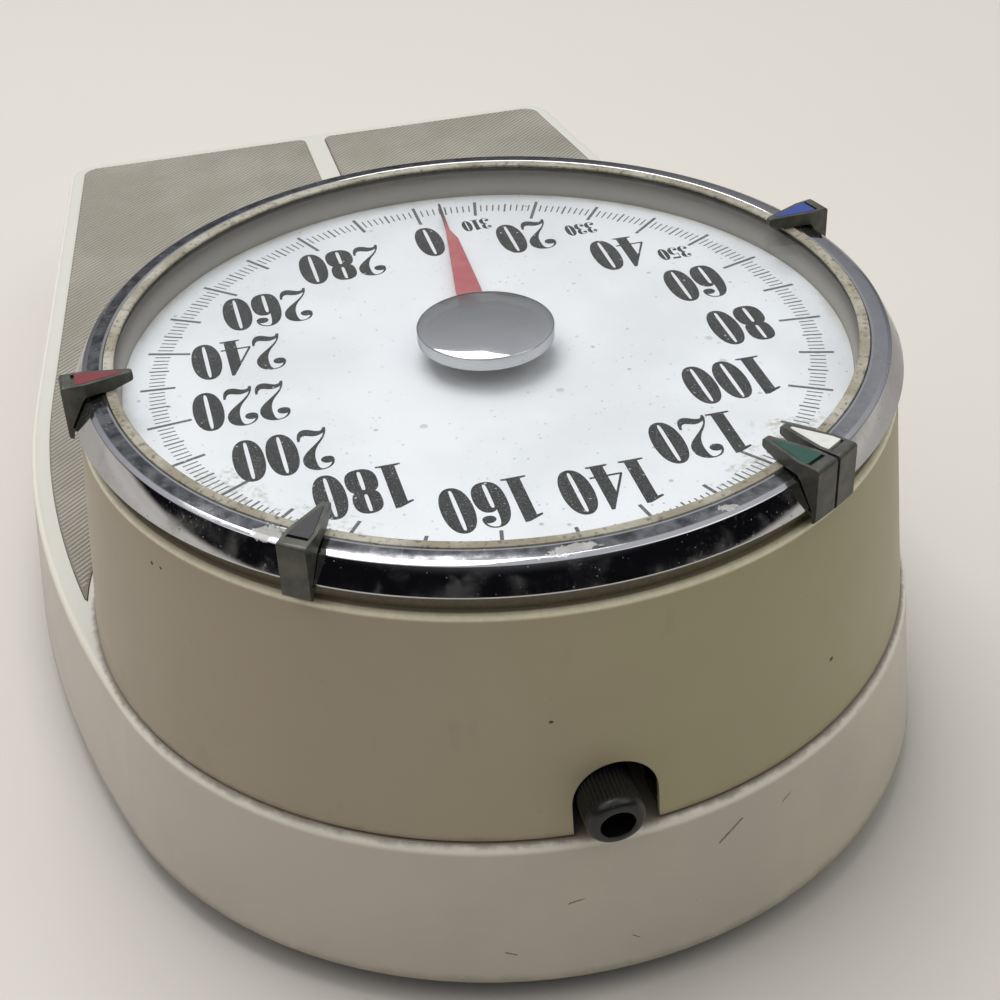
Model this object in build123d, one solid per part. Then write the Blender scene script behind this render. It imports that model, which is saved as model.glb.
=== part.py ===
from build123d import *
import math
import os

# Dial floor scale: a low steel platform on four levers, with a raised round dial head at one end.
# Millimetres, +Z up, standing on the floor at z = 0. Everything is drawn about the dial's axis,
# with the far end of the platform towards +Y, and moved at the end so that the origin lies
# under the middle of the whole scale.

# Fits and gaps
fit_gap = 0.05                   # pins and rivets that don't turn in their holes
running_gap = 0.08               # shafts and pins that turn
rest_gap = 0.35                  # pieces of different bodies that only bear on each other
side_gap = 1.0                   # beside a moving plate, where nothing has to bear
overrun = 1.0                    # how far a cut runs past its solid
touch = 0.01                     # tolerance when an edge is found by its place

# Platform cover
rim_height = 8.5                 # underside of the cover's rim
cover_top = 51.0
cover_wall = 1.2
cover_draft = 6.0
cover_edge_radius = 2.6
nose_margin = 6.1                # rim outside the drum's foot
nose_half_angle = 72.0           # where the nose runs into the sides
side_radius = 379.0
side_taper = 7.3
rear_reach = 318.0               # dial axis to the far rim
rear_corner_radius = 16.5
cover_hole_radius = 80.0

# Mats on the platform
mat_thickness = 1.0
mat_border = 5.75
mat_divider = 8.0
mat_drum_gap = 2.5
mat_front = 13.0
mat_corner_radius = 3.0

# Base pan and feet
pan_floor = 5.0                  # underside of the pan
pan_wall = 1.2
pan_inset = 7.0
pan_flange_height = 15.0
foot_radius = 13.0
foot_edge_radius = 1.5
rear_foot_inwards = 4.0          # from the long levers' fulcrum
rear_foot_behind = 19.0
front_foot_x = 78.0
front_foot_y = -52.0
rivet_radius = 2.0
rivet_head_radius = 4.0
rivet_head_height = 1.5
foot_rivet_depth = 3.5

# Dial head
dial_above_rack = 14.7158        # top of the dial face over the rack's middle
dial_thickness = 1.0
drum_seam = 0.6                  # gap under the drum
drum_flare = 6.3                 # foot wider than the lip
drum_lip_width = 2.6             # lip outside the neck
drum_lip_drop = 3.0              # lip below the dial face
drum_wall = 2.0
neck_gap = 0.3                   # round the gasket
neck_height = 5.4
neck_wall = 2.2
seat_width = 9.0
seat_thickness = 2.0
drum_flange_width = 24.4
drum_flange_thickness = 2.0
notch_width = 21.5
notch_height = 19.3
liner_lap = 2.0                  # inside the lens's edge
liner_lean = 1.2
liner_height = 7.6
lens_radius = 99.8
lens_thickness = 1.5
lens_rise = 3.6
gasket_lap = 2.4                 # over the lens
gasket_side = 3.2                # outside the lens
gasket_top = 10.0
gasket_lip_drop = 0.2
gasket_lip_slope = 0.5
bezel_lens_gap = 0.4             # bezel's inner edge outside the lens
bezel_inner_height = 9.9
bezel_slope_width = 5.4
bezel_edge_height = 9.0
bezel_spread = 3.8               # skirt outside the edge
bezel_skirt_height = 2.4
bezel_wall = 1.2
bezel_top_drop = 0.4
bezel_round = 0.6

# Movement deck inside the head
deck_above_cover = 3.0
deck_thickness = 1.5
deck_inset = 11.4                # from the drum's foot
knob_window_depth = 13.0
standoff_radius = 4.0
standoff_reach = 70.0            # from the dial's axis
deck_screw_radius = 2.0
deck_screw_head = 3.8
deck_screw_head_height = 2.4
deck_screw_depth = 8.0
drum_screw_inset = 6.5           # outside the drum's flange
window_clearance = 6.0

# Pointer movement
tooth_module = 0.5
pinion_teeth = 13
pinion_addendum = 0.4
pinion_dedendum = 0.62
rack_addendum = 0.36
rack_dedendum = 0.6
pressure_angle = 20.0
tooth_thinning = 0.05
flank_steps = 5
pinion_height = 8.0
rack_height = 6.0
rack_back = 4.0                  # rack body behind its pitch line
rack_tooth_overrun = 5.0
rack_tail = 30.0
rack_pad_height = 11.0
rack_pad_length = 8.0
shaft_radius = 1.6
shaft_seat_height = 1.2
bearing_radius = 6.0
bearing_height = 6.5
bushing_radius = 4.5
bushing_flange_radius = 6.0
bushing_flange_height = 0.8
bushing_depth = 4.0
capacity_degrees = 420.0         # 350 on a dial of 300 to the turn
pointer_rest = 4.6               # clockwise from the dial's zero
pointer_height = 3.2
pointer_thickness = 0.8
pointer_tip_radius = 85.0
pointer_tip_half = 0.35
pointer_needle_half = 0.6
pointer_shoulder_radius = 61.0
pointer_shoulder_half = 2.2      # the shoulder is on the clockwise side only
pointer_step_length = 6.0        # from the shoulder to the thin needle
pointer_base_half = 3.6
pointer_base_radius = 29.0
pointer_hub_radius = 8.0
cap_radius = 18.3
cap_bottom = 5.4
cap_edge_height = 9.4
cap_crown = 1.0
cap_wall = 1.2
cap_edge_round = 0.4
cap_boss_radius = 5.0

# Bell crank and spring plate
crank_swing = 31.0
crank_arm = 26.0
crank_pivot_y = -22.0
crank_pivot_above_deck = 4.5
crank_thickness = 2.0
crank_boss_radius = 6.0
crank_end_radius = 4.0
crank_pin_radius = 1.5
pivot_pin_radius = 2.0
bracket_thickness = 1.5
spring_plate_thickness = 2.0
spring_plate_width = 14.0
spring_hole_radius = 1.9
spring_hole_rise = 8.0
spring_plate_margin = 1.5
cross_pin_radius = 2.0
cross_pin_length = 26.0
main_spring_radius = 7.5
main_spring_wire = 2.4
main_spring_coils = 6
spring_loop_radius = 4.0
spring_loop_wire = 1.2
spring_anchor_above_deck = 47.5
rack_spring_radius = 3.0
rack_spring_length = 18.0
rack_spring_coils = 10
rack_post_radius = 2.5
guide_y = 22.0
guide_thickness = 2.5
guide_width = 24.0
guide_foot = 10.0

# Levers
lever_thickness = 2.0
lever_height = 12.0
lever_nose_height = 8.0
lever_tail = 6.0
long_lever_taper = 0.6           # share of its length where the long lever starts to narrow
fulcrum_height = 24.0
pivot_radius = 2.0
long_fulcrum_x = 84.0
long_fulcrum_inset = 46.0        # from the far rim
long_load_arm = 22.0
nose_spread = 7.0
short_fulcrum_x = 100.0
short_fulcrum_y = 8.0
short_length = 110.0
short_tip_height = 7.0
short_tip_overhang = 5.0
ear_gap = 5.0                    # lever's middle to the inside of an ear
ear_thickness = 1.5
ear_width = 12.0
ear_foot_thickness = 1.5
pin_overhang = 1.0

# Zero adjuster
knob_x = -2.5
knob_above_cover = 11.0          # axis over the cover where it leaves the drum
knob_tilt = 6.0                  # downwards, going outwards
knob_proud = 8.4                 # knob's face outside the drum's foot
knob_radius = 7.3
knob_length = 18.0
knob_smooth_length = 6.0
knob_rib_count = 40
knob_rib_depth = 0.35
knob_face_round = 1.8
knob_bore_radius = 4.3
knob_bore_depth = 7.0
screw_radius = 2.5
screw_in_knob = 6.0
zero_turns = 2.0                 # each way
zero_pitch = 0.7
nut_y = -80.0
nut_width = 9.0
nut_length = 8.0
nut_pin_radius = 1.25
zero_lever_thickness = 2.0
zero_lever_end = 4.0
zero_lever_slot = 5.0
nut_clearance = 1.1              # left at each end of the nut's travel
zero_bracket_width = 12.0
zero_cheek_width = 12.0

# Weight markers that slide round the bezel
marker_angles = {"blue": 74.8, "white": 145.35, "green": 149.6, "black": 216.7, "red": 268.5}
marker_width = 7.2
marker_overhang = 4.8            # tip inside the gasket
marker_tip_width = 1.6
marker_reach = 1.5               # outside over the bezel's skirt
marker_top = 13.8
marker_tip_thickness = 2.4
marker_bottom = -1.0
marker_tab_thickness = 1.15
marker_hook_depth = 1.7          # under the skirt
marker_hook_thickness = 0.95
marker_shoulder_inset = 0.7      # inside the bezel's edge
marker_corner_radius = 1.0
marker_tip_round = 0.8
marker_hook_draft = 0.4
inlay_depth = 0.8
inlay_proud = 0.1
inlay_border = 0.9
inlay_end_gap = 3.0

# Worked out from the sizes above
cover_height = cover_top - rim_height
top_inset = cover_height * math.tan(math.radians(cover_draft))
pan_top = pan_floor + pan_wall
deck_height = cover_top + deck_above_cover
deck_top = deck_height + deck_thickness
drum_bottom = cover_top + drum_seam
gasket_inner_radius = lens_radius - gasket_lap
gasket_outer_radius = lens_radius + gasket_side
liner_top_radius = lens_radius - liner_lap
liner_bottom_radius = liner_top_radius - liner_lean
bezel_inner_radius = lens_radius + bezel_lens_gap
bezel_edge_radius = bezel_inner_radius + bezel_slope_width
bezel_skirt_radius = bezel_edge_radius + bezel_spread
dial_radius = gasket_outer_radius
seat_radius = dial_radius - seat_width
neck_inner_radius = gasket_outer_radius + neck_gap
neck_radius = neck_inner_radius + neck_wall
drum_lip_radius = neck_radius + drum_lip_width
drum_bottom_radius = drum_lip_radius + drum_flare
drum_flange_radius = drum_bottom_radius - drum_flange_width
drum_screw_reach = drum_flange_radius + drum_screw_inset
deck_radius = drum_bottom_radius - deck_inset
nose_radius = drum_bottom_radius + nose_margin
knob_face_reach = drum_bottom_radius + knob_proud
front_reach = knob_face_reach + knob_radius * math.sin(math.radians(knob_tilt))
dial_y = (front_reach - rear_reach) / 2
long_fulcrum_y = rear_reach - long_fulcrum_inset
rear_foot_x = long_fulcrum_x - rear_foot_inwards
rear_foot_y = long_fulcrum_y + rear_foot_behind
marker_tip_radius = gasket_inner_radius - marker_overhang
marker_outer_radius = bezel_skirt_radius + marker_reach
marker_hook_radius = bezel_skirt_radius - marker_hook_depth
marker_shoulder_radius = bezel_edge_radius - marker_shoulder_inset

half_swing = math.radians(crank_swing / 2)
pinion_radius = tooth_module * pinion_teeth / 2
pointer_sweep = capacity_degrees - pointer_rest
crank_plane_x = pinion_radius + rack_back + rest_gap
rack_travel = pinion_radius * math.radians(pointer_sweep)
plate_travel = 2 * crank_arm * math.sin(half_swing)
crank_rise = rack_travel / (2 * math.sin(half_swing))
crank_pivot_z = deck_top + crank_pivot_above_deck
spring_anchor_height = deck_top + spring_anchor_above_deck
spring_x = knob_x
zero_lever_x = spring_x + main_spring_radius + rest_gap
zero_travel = zero_turns * zero_pitch
zero_bracket_half = nut_length / 2 + zero_travel + nut_clearance + bracket_thickness
zero_bracket_front = nut_y - zero_bracket_half
zero_bracket_back = nut_y + zero_bracket_half
spring_y = crank_pivot_y - crank_arm * (1 + math.cos(half_swing)) / 2
rack_z = crank_pivot_z + crank_rise * (1 + math.cos(half_swing)) / 2
dial_height = rack_z + dial_above_rack
drum_lip = dial_height - drum_lip_drop
dial_seat = dial_height - dial_thickness
rack_pin_y = crank_pivot_y + crank_rise * math.sin(half_swing)
crank_pin_z = crank_pivot_z + crank_arm * math.sin(half_swing)
crank_pin_y = crank_pivot_y - crank_arm * math.cos(half_swing)

long_length = long_fulcrum_y - spring_y
long_swing = 2 * math.asin(plate_travel / (2 * long_length))
short_tip_y = short_fulcrum_y + short_length
long_arm_at_tip = long_fulcrum_y - short_tip_y
short_swing = 2 * math.asin(long_arm_at_tip * math.sin(long_swing / 2) / short_length)
short_load_arm = long_load_arm * math.sin(long_swing / 2) / math.sin(short_swing / 2)
platform_travel = 2 * long_load_arm * math.sin(long_swing / 2)
load_rise = platform_travel / 2
nose_z = fulcrum_height + plate_travel / 2
cross_pin_z = nose_z - lever_nose_height / 2 - rest_gap - cross_pin_radius

knob_z = cover_top + knob_above_cover


def place(part):
    return Pos(0, dial_y, 0) * part


def block(x0, x1, y0, y1, z0, z1):
    return Pos((x0 + x1) / 2, (y0 + y1) / 2, (z0 + z1) / 2) * Box(x1 - x0, y1 - y0, z1 - z0)


def post(x, y, z0, z1, radius):
    return Pos(x, y, (z0 + z1) / 2) * Cylinder(radius, z1 - z0)


def rod(y, z, x0, x1, radius):
    return Pos((x0 + x1) / 2, y, z) * Rot(0, 90, 0) * Cylinder(radius, x1 - x0)


def turned(points):
    return revolve(Plane.XZ * make_face(Polyline(points, close=True)), axis=Axis.Z)


def side_plate(points, x0, thickness):
    return extrude(Plane.YZ.offset(x0) * make_face(Polyline(points, close=True)), amount=thickness)


def arm(start, end, start_radius, end_radius, x0, thickness):
    ends = Pos(*start) * Circle(start_radius) + Pos(*end) * Circle(end_radius)
    return extrude(Plane.YZ.offset(x0) * make_hull(ends.edges()), amount=thickness)


def outward(angle):
    turn = math.radians(angle)
    return Vector(math.sin(turn), -math.cos(turn), 0)


def arc_about(centre, radius, start, end):
    middle = (start + end) / 2
    return ThreePointArc(*[centre + outward(angle) * radius for angle in (start, middle, end)])


# Plan outline of the platform at its rim, drawn in by inset
def platform_outline(inset):
    side_angle = 90 + side_taper
    side_centre = outward(nose_half_angle) * (nose_radius - side_radius)
    side_out = outward(side_angle)
    side_end = side_centre + side_out * side_radius
    corner_y = rear_reach - rear_corner_radius
    corner_x = (side_out.dot(side_end) - rear_corner_radius - side_out.Y * corner_y) / side_out.X
    corner = Vector(corner_x, corner_y, 0)
    right = [
        arc_about(side_centre, side_radius - inset, nose_half_angle, side_angle),
        Line(side_end - side_out * inset, corner + side_out * (rear_corner_radius - inset)),
        arc_about(corner, rear_corner_radius - inset, side_angle, 180),
    ]
    left = [mirror(edge, about=Plane.YZ) for edge in right]
    nose = arc_about(Vector(0, 0, 0), nose_radius - inset, -nose_half_angle, nose_half_angle)
    far_right = corner + Vector(0, rear_corner_radius - inset, 0)
    far = Line(far_right, Vector(-far_right.X, far_right.Y, 0))
    return make_face([nose, *right, far, *left])


def platform_cover():
    shell = extrude(Pos(0, 0, rim_height) * platform_outline(0), amount=cover_height, taper=cover_draft)
    top_edges = shell.faces().sort_by(Axis.Z)[-1].edges()
    shell = fillet(top_edges, cover_edge_radius)
    inside = extrude(
        Pos(0, 0, rim_height) * platform_outline(cover_wall),
        amount=cover_height - cover_wall, taper=cover_draft,
    )
    return shell - inside - post(0, 0, cover_height, cover_top + cover_wall, cover_hole_radius)


def mat(side):
    sheet = extrude(Pos(0, 0, cover_top) * platform_outline(top_inset + mat_border), amount=mat_thickness)
    drum_clear = drum_bottom_radius + mat_drum_gap
    sheet -= post(0, 0, 0, dial_height, drum_clear)
    half = block(mat_divider / 2, nose_radius * 2, mat_front, rear_reach, 0, dial_height)
    half = half if side > 0 else mirror(half, about=Plane.YZ)
    sheet = sheet & half
    upright = sheet.edges().filter_by(Axis.Z)
    corners = upright.filter_by(lambda e: abs(abs(e.center().X) - mat_divider / 2) < touch)
    return fillet(corners, mat_corner_radius)


def foot_places():
    return [
        (x, y)
        for x, y in ((rear_foot_x, rear_foot_y), (-rear_foot_x, rear_foot_y),
                     (front_foot_x, front_foot_y), (-front_foot_x, front_foot_y))
    ]


def standoff_places():
    return [(spot.position.X, spot.position.Y) for spot in PolarLocations(standoff_reach, 4, 45)]


def base_pan():
    pan = extrude(Pos(0, 0, pan_floor) * platform_outline(pan_inset), amount=pan_flange_height)
    pan -= extrude(Pos(0, 0, pan_top) * platform_outline(pan_inset + pan_wall), amount=pan_flange_height)
    for x, y in foot_places():
        pan -= post(x, y, 0, pan_top + pan_wall, rivet_radius + fit_gap)
    return pan


def rubber_foot(x, y):
    foot = post(x, y, 0, pan_floor, foot_radius)
    foot = fillet(foot.edges().sort_by(Axis.Z)[0], foot_edge_radius)
    return foot - post(x, y, pan_floor - foot_rivet_depth, pan_floor + overrun, rivet_radius + fit_gap)


def foot_rivet(x, y):
    shank = post(x, y, pan_floor - foot_rivet_depth + fit_gap, pan_top, rivet_radius)
    return shank + post(x, y, pan_top, pan_top + rivet_head_height, rivet_head_radius)


# A pressed bracket with two ears beside the lever and a round notch for its pin.
# up = 1 stands on the pan with its notch open upwards, up = -1 hangs from the cover.
def lever_bracket(x, y, pin_z, foot_z, up):
    tip_z = pin_z + up * pivot_radius
    ear_half = ear_width / 2
    low, high = sorted((foot_z, tip_z))
    ear_out = ear_gap + ear_thickness
    ears = block(x - ear_out, x + ear_out, y - ear_half, y + ear_half, low, high)
    gap_low, gap_high = sorted((foot_z + up * ear_foot_thickness, tip_z + up * overrun))
    ears -= block(x - ear_gap, x + ear_gap, y - ear_width, y + ear_width, gap_low, gap_high)
    notch = pivot_radius + running_gap
    reach = ear_gap + ear_thickness + pin_overhang
    notch_low, notch_high = sorted((pin_z, tip_z + up * overrun))
    ears -= rod(y, pin_z, x - reach, x + reach, notch)
    return ears - block(x - reach, x + reach, y - notch, y + notch, notch_low, notch_high)


def lever_fulcrums():
    return [
        lever_bracket(side * x, y, fulcrum_height, pan_top, 1)
        for x, y in ((long_fulcrum_x, long_fulcrum_y), (short_fulcrum_x, short_fulcrum_y))
        for side in (-1, 1)
    ]


def load_points():
    long_y = long_fulcrum_y - long_load_arm * math.cos(long_swing / 2)
    short_y = short_fulcrum_y + short_load_arm * math.cos(short_swing / 2)
    return [(long_lever_x(side, long_fulcrum_y - long_load_arm), long_y) for side in (-1, 1)] + [
        (short_lever_x(side, short_fulcrum_y + short_load_arm), short_y) for side in (-1, 1)
    ]


def platform_bearings():
    pin_z = fulcrum_height + load_rise
    return [lever_bracket(x, y, pin_z, cover_top - cover_wall, -1) for x, y in load_points()]


def long_lever_x(side, y):
    nose_x = spring_x + side * nose_spread
    return nose_x + (side * long_fulcrum_x - nose_x) * (y - spring_y) / long_length


def short_lever_x(side, y):
    tip_x = long_lever_x(side, short_tip_y)
    root_x = side * short_fulcrum_x
    return root_x + (tip_x - root_x) * (y - short_fulcrum_y) / short_length


# An upright blade between two plan points, from an outline of (distance along, height)
def blade(start, end, outline):
    along = Vector(end[0] - start[0], end[1] - start[1], 0)
    plane = Plane(origin=(start[0], start[1], 0), x_dir=along, z_dir=along.cross(Vector(0, 0, 1)))
    face = make_face(Polyline(outline, close=True))
    return extrude(plane * face, amount=lever_thickness / 2, both=True)


def lever_pins(side, points):
    reach = ear_gap + ear_thickness + pin_overhang
    return [rod(y, fulcrum_height, x - reach, x + reach, pivot_radius) for x, y in points]


def pin_holes(points):
    reach = ear_gap + ear_thickness + pin_overhang
    radius = pivot_radius + fit_gap
    return [rod(y, fulcrum_height, x - reach, x + reach, radius) for x, y in points]


def long_pin_points(side):
    load_y = long_fulcrum_y - long_load_arm
    return [(side * long_fulcrum_x, long_fulcrum_y), (long_lever_x(side, load_y), load_y)]


def short_pin_points(side):
    load_y = short_fulcrum_y + short_load_arm
    return [(side * short_fulcrum_x, short_fulcrum_y), (short_lever_x(side, load_y), load_y)]


# The levers are drawn level, halfway through their travel, and tipped back to rest
def at_long_rest(part):
    return part.rotate(Axis((0, long_fulcrum_y, fulcrum_height), (1, 0, 0)), -math.degrees(long_swing / 2))


def at_short_rest(part):
    return part.rotate(Axis((0, short_fulcrum_y, fulcrum_height), (1, 0, 0)), math.degrees(short_swing / 2))


def long_lever(side):
    start = (side * long_fulcrum_x, long_fulcrum_y)
    end = (long_lever_x(side, spring_y), spring_y)
    span = math.dist(start, end)
    half = lever_height / 2
    nose = lever_nose_height / 2
    load = long_load_arm * 2
    outline = [
        (-lever_tail, fulcrum_height - half), (-lever_tail, fulcrum_height + half),
        (load, fulcrum_height + half), (span * long_lever_taper, fulcrum_height + half),
        (span + lever_tail, fulcrum_height + nose), (span + lever_tail, fulcrum_height - nose),
        (span - lever_tail, fulcrum_height - nose), (load, fulcrum_height - half),
    ]
    lever = blade(start, end, outline)
    for hole in pin_holes(long_pin_points(side)):
        lever -= hole
    return at_long_rest(lever)


def short_lever(side):
    start = (side * short_fulcrum_x, short_fulcrum_y)
    end = (long_lever_x(side, short_tip_y), short_tip_y)
    span = math.dist(start, end)
    half = lever_height / 2
    tip_low = fulcrum_height + half + rest_gap
    tip_high = tip_low + short_tip_height
    load = short_load_arm * 2
    outline = [
        (-lever_tail, fulcrum_height - half), (-lever_tail, fulcrum_height + half),
        (load, fulcrum_height + half + short_tip_height / 2), (span - lever_tail, tip_high),
        (span + short_tip_overhang, tip_high), (span + short_tip_overhang, tip_low),
        (span - lever_tail, tip_low), (load, fulcrum_height - half),
    ]
    lever = blade(start, end, outline)
    for hole in pin_holes(short_pin_points(side)):
        lever -= hole
    return at_short_rest(lever)


def long_lever_pins(side):
    return [at_long_rest(pin) for pin in lever_pins(side, long_pin_points(side))]


def short_lever_pins(side):
    return [at_short_rest(pin) for pin in lever_pins(side, short_pin_points(side))]


def standoff(x, y):
    bar = post(x, y, pan_top, deck_height, standoff_radius)
    return bar - post(x, y, deck_height - deck_screw_depth, deck_height + overrun, deck_screw_radius + fit_gap)


def deck_screw(x, y):
    shank = post(x, y, deck_height - deck_screw_depth + fit_gap, deck_top, deck_screw_radius)
    return shank + post(x, y, deck_top, deck_top + deck_screw_head_height, deck_screw_head)


def drum_screw_places():
    return [(spot.position.X, spot.position.Y) for spot in PolarLocations(drum_screw_reach, 4, 45)]


def drum_screw(x, y):
    seat = deck_top + drum_flange_thickness
    shank = post(x, y, deck_height, seat, deck_screw_radius)
    return shank + post(x, y, seat, seat + deck_screw_head_height, deck_screw_head)


def knob_window():
    half = notch_width / 2
    reach = -knob_face_reach
    window_top = deck_top + knob_window_depth
    return block(-half, half, reach, zero_bracket_front - overrun, deck_height - overrun, window_top)


def spring_window():
    left = spring_x - spring_plate_thickness - window_clearance
    right = crank_plane_x + crank_thickness + rest_gap
    back = crank_pivot_y + crank_boss_radius + rest_gap
    front = spring_y - spring_plate_width / 2 - window_clearance
    return block(left, right, front, back, deck_height - overrun, deck_top + overrun)


def movement_deck():
    deck = post(0, 0, deck_height, deck_top, deck_radius)
    for x, y in standoff_places() + drum_screw_places():
        deck -= post(x, y, deck_height - overrun, deck_top + overrun, deck_screw_radius + fit_gap)
    return deck - knob_window() - spring_window()


def drum_radius(z):
    share = (z - drum_bottom) / (drum_lip - drum_bottom)
    return drum_bottom_radius + (drum_lip_radius - drum_bottom_radius) * share


def drum_housing():
    neck_top = dial_height + neck_height
    shelf = dial_seat - seat_thickness
    flange_top = deck_top + drum_flange_thickness
    drum = turned([
        (drum_bottom_radius, drum_bottom), (drum_lip_radius, drum_lip), (neck_radius, drum_lip),
        (neck_radius, neck_top), (neck_inner_radius, neck_top), (neck_inner_radius, dial_seat),
        (seat_radius, dial_seat), (seat_radius, shelf), (drum_radius(shelf) - 2 * drum_wall, shelf),
        (drum_radius(flange_top) - drum_wall, flange_top), (drum_flange_radius, flange_top),
        (drum_flange_radius, deck_top), (drum_radius(deck_top) - drum_wall, deck_top),
        (drum_bottom_radius - drum_wall, drum_bottom),
    ])
    for x, y in drum_screw_places():
        drum -= post(x, y, deck_height, flange_top + overrun, deck_screw_radius + fit_gap)
    reach = -knob_face_reach
    inner = -drum_flange_radius + drum_wall
    round_z = drum_bottom + notch_height - notch_width / 2
    cap = Pos(0, (reach + inner) / 2, round_z) * Rot(90, 0, 0) * Cylinder(notch_width / 2, inner - reach)
    gap = block(-notch_width / 2, notch_width / 2, reach, inner, drum_bottom - overrun, round_z)
    return drum - cap - gap


def dial_face():
    face = post(0, 0, dial_seat, dial_height, dial_radius)
    return face - post(0, 0, dial_seat - overrun, dial_height + overrun, bushing_radius + fit_gap)


def dial_liner():
    top = dial_height + liner_height
    return turned([
        (liner_bottom_radius, dial_height), (liner_top_radius, top),
        (dial_radius, top), (dial_radius, dial_height),
    ])


# Height of a shallow dome over its rim, at a radius
def dome_height(radius, rim_radius, rise):
    sphere = (rim_radius ** 2 + rise ** 2) / (2 * rise)
    return rise - sphere + math.sqrt(sphere ** 2 - radius ** 2)


def lens():
    rim = dial_height + liner_height
    crown = rim + lens_rise
    half = rim + dome_height(lens_radius / 2, lens_radius, lens_rise)
    under = ThreePointArc((lens_radius, rim), (lens_radius / 2, half), (0, crown))
    over = ThreePointArc(
        (0, crown + lens_thickness), (lens_radius / 2, half + lens_thickness),
        (lens_radius, rim + lens_thickness),
    )
    edge = Line((lens_radius, rim + lens_thickness), (lens_radius, rim))
    middle = Line((0, crown), (0, crown + lens_thickness))
    return revolve(Plane.XZ * make_face([under, middle, over, edge]), axis=Axis.Z)


def lens_gasket():
    rim = dial_height + liner_height
    lens_top = rim + lens_thickness
    top = dial_height + gasket_top
    lip = lens_radius + fit_gap * 2
    skirt = dial_height + bezel_inner_height - bezel_wall - fit_gap
    lean = dome_height(gasket_inner_radius, lens_radius, lens_rise)
    return turned([
        (gasket_inner_radius, lens_top + lean + fit_gap), (gasket_inner_radius, top - gasket_lip_drop),
        (gasket_inner_radius + gasket_lip_slope, top), (bezel_inner_radius - fit_gap, top),
        (bezel_inner_radius - fit_gap, skirt),
        (gasket_outer_radius, skirt), (gasket_outer_radius, rim), (lip, rim), (lip, lens_top + fit_gap),
    ])


def bezel_ring():
    inner_top = dial_height + bezel_inner_height
    edge_top = dial_height + bezel_edge_height
    skirt = dial_height + bezel_skirt_height
    neck_top = dial_height + neck_height
    top_edge = bezel_edge_radius - bezel_wall
    ring = turned([
        (bezel_inner_radius, inner_top - bezel_wall), (bezel_inner_radius, inner_top),
        (top_edge, inner_top - bezel_top_drop), (bezel_edge_radius, edge_top), (bezel_skirt_radius, skirt),
        (bezel_skirt_radius - bezel_wall, skirt), (neck_radius + fit_gap, neck_top + fit_gap),
        (gasket_outer_radius + fit_gap, inner_top - bezel_wall),
    ])
    circles = ring.edges().filter_by(GeomType.CIRCLE)
    shoulder = circles.filter_by(lambda e: abs(e.radius - bezel_edge_radius) < touch)
    return fillet(shoulder, bezel_round)


# Clip that hooks over the bezel, with a pointed top and a pocket for its coloured inlay
def marker_plan(back, border, tip):
    half = marker_width / 2 - border
    point = marker_tip_width / 2 - border / 2
    face = make_face(Polyline(
        [(tip, -point), (tip, point), (marker_shoulder_radius, half), (back, half), (back, -half),
         (marker_shoulder_radius, -half)], close=True
    ))
    return Pos(0, 0, dial_height + marker_bottom) * face


def marker_clip(clockwise):
    top = dial_height + marker_top
    under = dial_height + bezel_inner_height + rest_gap
    bottom = dial_height + marker_bottom
    edge = dial_height + bezel_edge_height
    hook_top = dial_height + bezel_skirt_height - rest_gap
    hook_low = hook_top - marker_hook_thickness
    tab_inner = marker_outer_radius - marker_tab_thickness
    profile = make_face(Polyline([
        (marker_tip_radius, top - marker_tip_thickness), (marker_tip_radius, top), (marker_outer_radius, top),
        (marker_outer_radius, bottom), (tab_inner, bottom), (tab_inner - marker_hook_draft, hook_low),
        (marker_hook_radius, hook_low), (marker_hook_radius, hook_top),
        (bezel_skirt_radius + rest_gap, hook_top),
        (bezel_edge_radius + rest_gap, edge + rest_gap / 2), (bezel_edge_radius - bezel_wall / 2, under),
        (gasket_inner_radius, under),
    ], close=True))
    corners = profile.vertices().filter_by(lambda v: abs(v.X - marker_outer_radius) < touch)
    profile = fillet(corners, marker_corner_radius)
    tip = profile.vertices().filter_by(lambda v: abs(v.X - marker_tip_radius) < touch)
    profile = fillet(tip, marker_tip_round)
    clip = extrude(Plane.XZ * profile, amount=marker_width / 2, both=True)
    height = marker_top - marker_bottom
    clip = clip & extrude(marker_plan(marker_outer_radius, 0, marker_tip_radius), amount=height)
    pocket_z = height - inlay_depth
    back = marker_outer_radius - inlay_end_gap
    pocket = Pos(0, 0, pocket_z) * marker_plan(back, inlay_border, inlay_start())
    return Rot(0, 0, 90 - clockwise) * (clip - extrude(pocket, amount=inlay_depth))


def inlay_start():
    return marker_tip_radius + marker_tip_thickness


def marker_inlay(clockwise):
    back = marker_outer_radius - inlay_end_gap - inlay_border
    border = inlay_border + fit_gap
    plan = marker_plan(back, border, inlay_start() + fit_gap)
    seat = marker_top - marker_bottom - inlay_depth
    inlay = extrude(Pos(0, 0, seat) * plan, amount=inlay_depth + inlay_proud)
    return Rot(0, 0, 90 - clockwise) * inlay


# Pointer, its shaft and what turns it
def pointer_shaft():
    return post(0, 0, deck_top + shaft_seat_height + rest_gap, shaft_top(), shaft_radius)


def shaft_top():
    return dial_height + cap_edge_height - cap_wall - fit_gap


def shaft_bearing():
    bearing = post(0, 0, deck_top, deck_top + bearing_height, bearing_radius)
    seat = deck_top + shaft_seat_height
    return bearing - post(0, 0, seat, deck_top + bearing_height + overrun, shaft_radius + running_gap)


def dial_bushing():
    bushing = post(0, 0, dial_height - bushing_depth, dial_height, bushing_radius)
    flange_top = dial_height + bushing_flange_height
    bushing += post(0, 0, dial_height, flange_top, bushing_flange_radius)
    low = dial_height - bushing_depth - overrun
    return bushing - post(0, 0, low, flange_top + overrun, shaft_radius + running_gap)


def involute(radius, base_radius):
    angle = math.acos(min(1, base_radius / radius))
    return math.tan(angle) - angle


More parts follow.
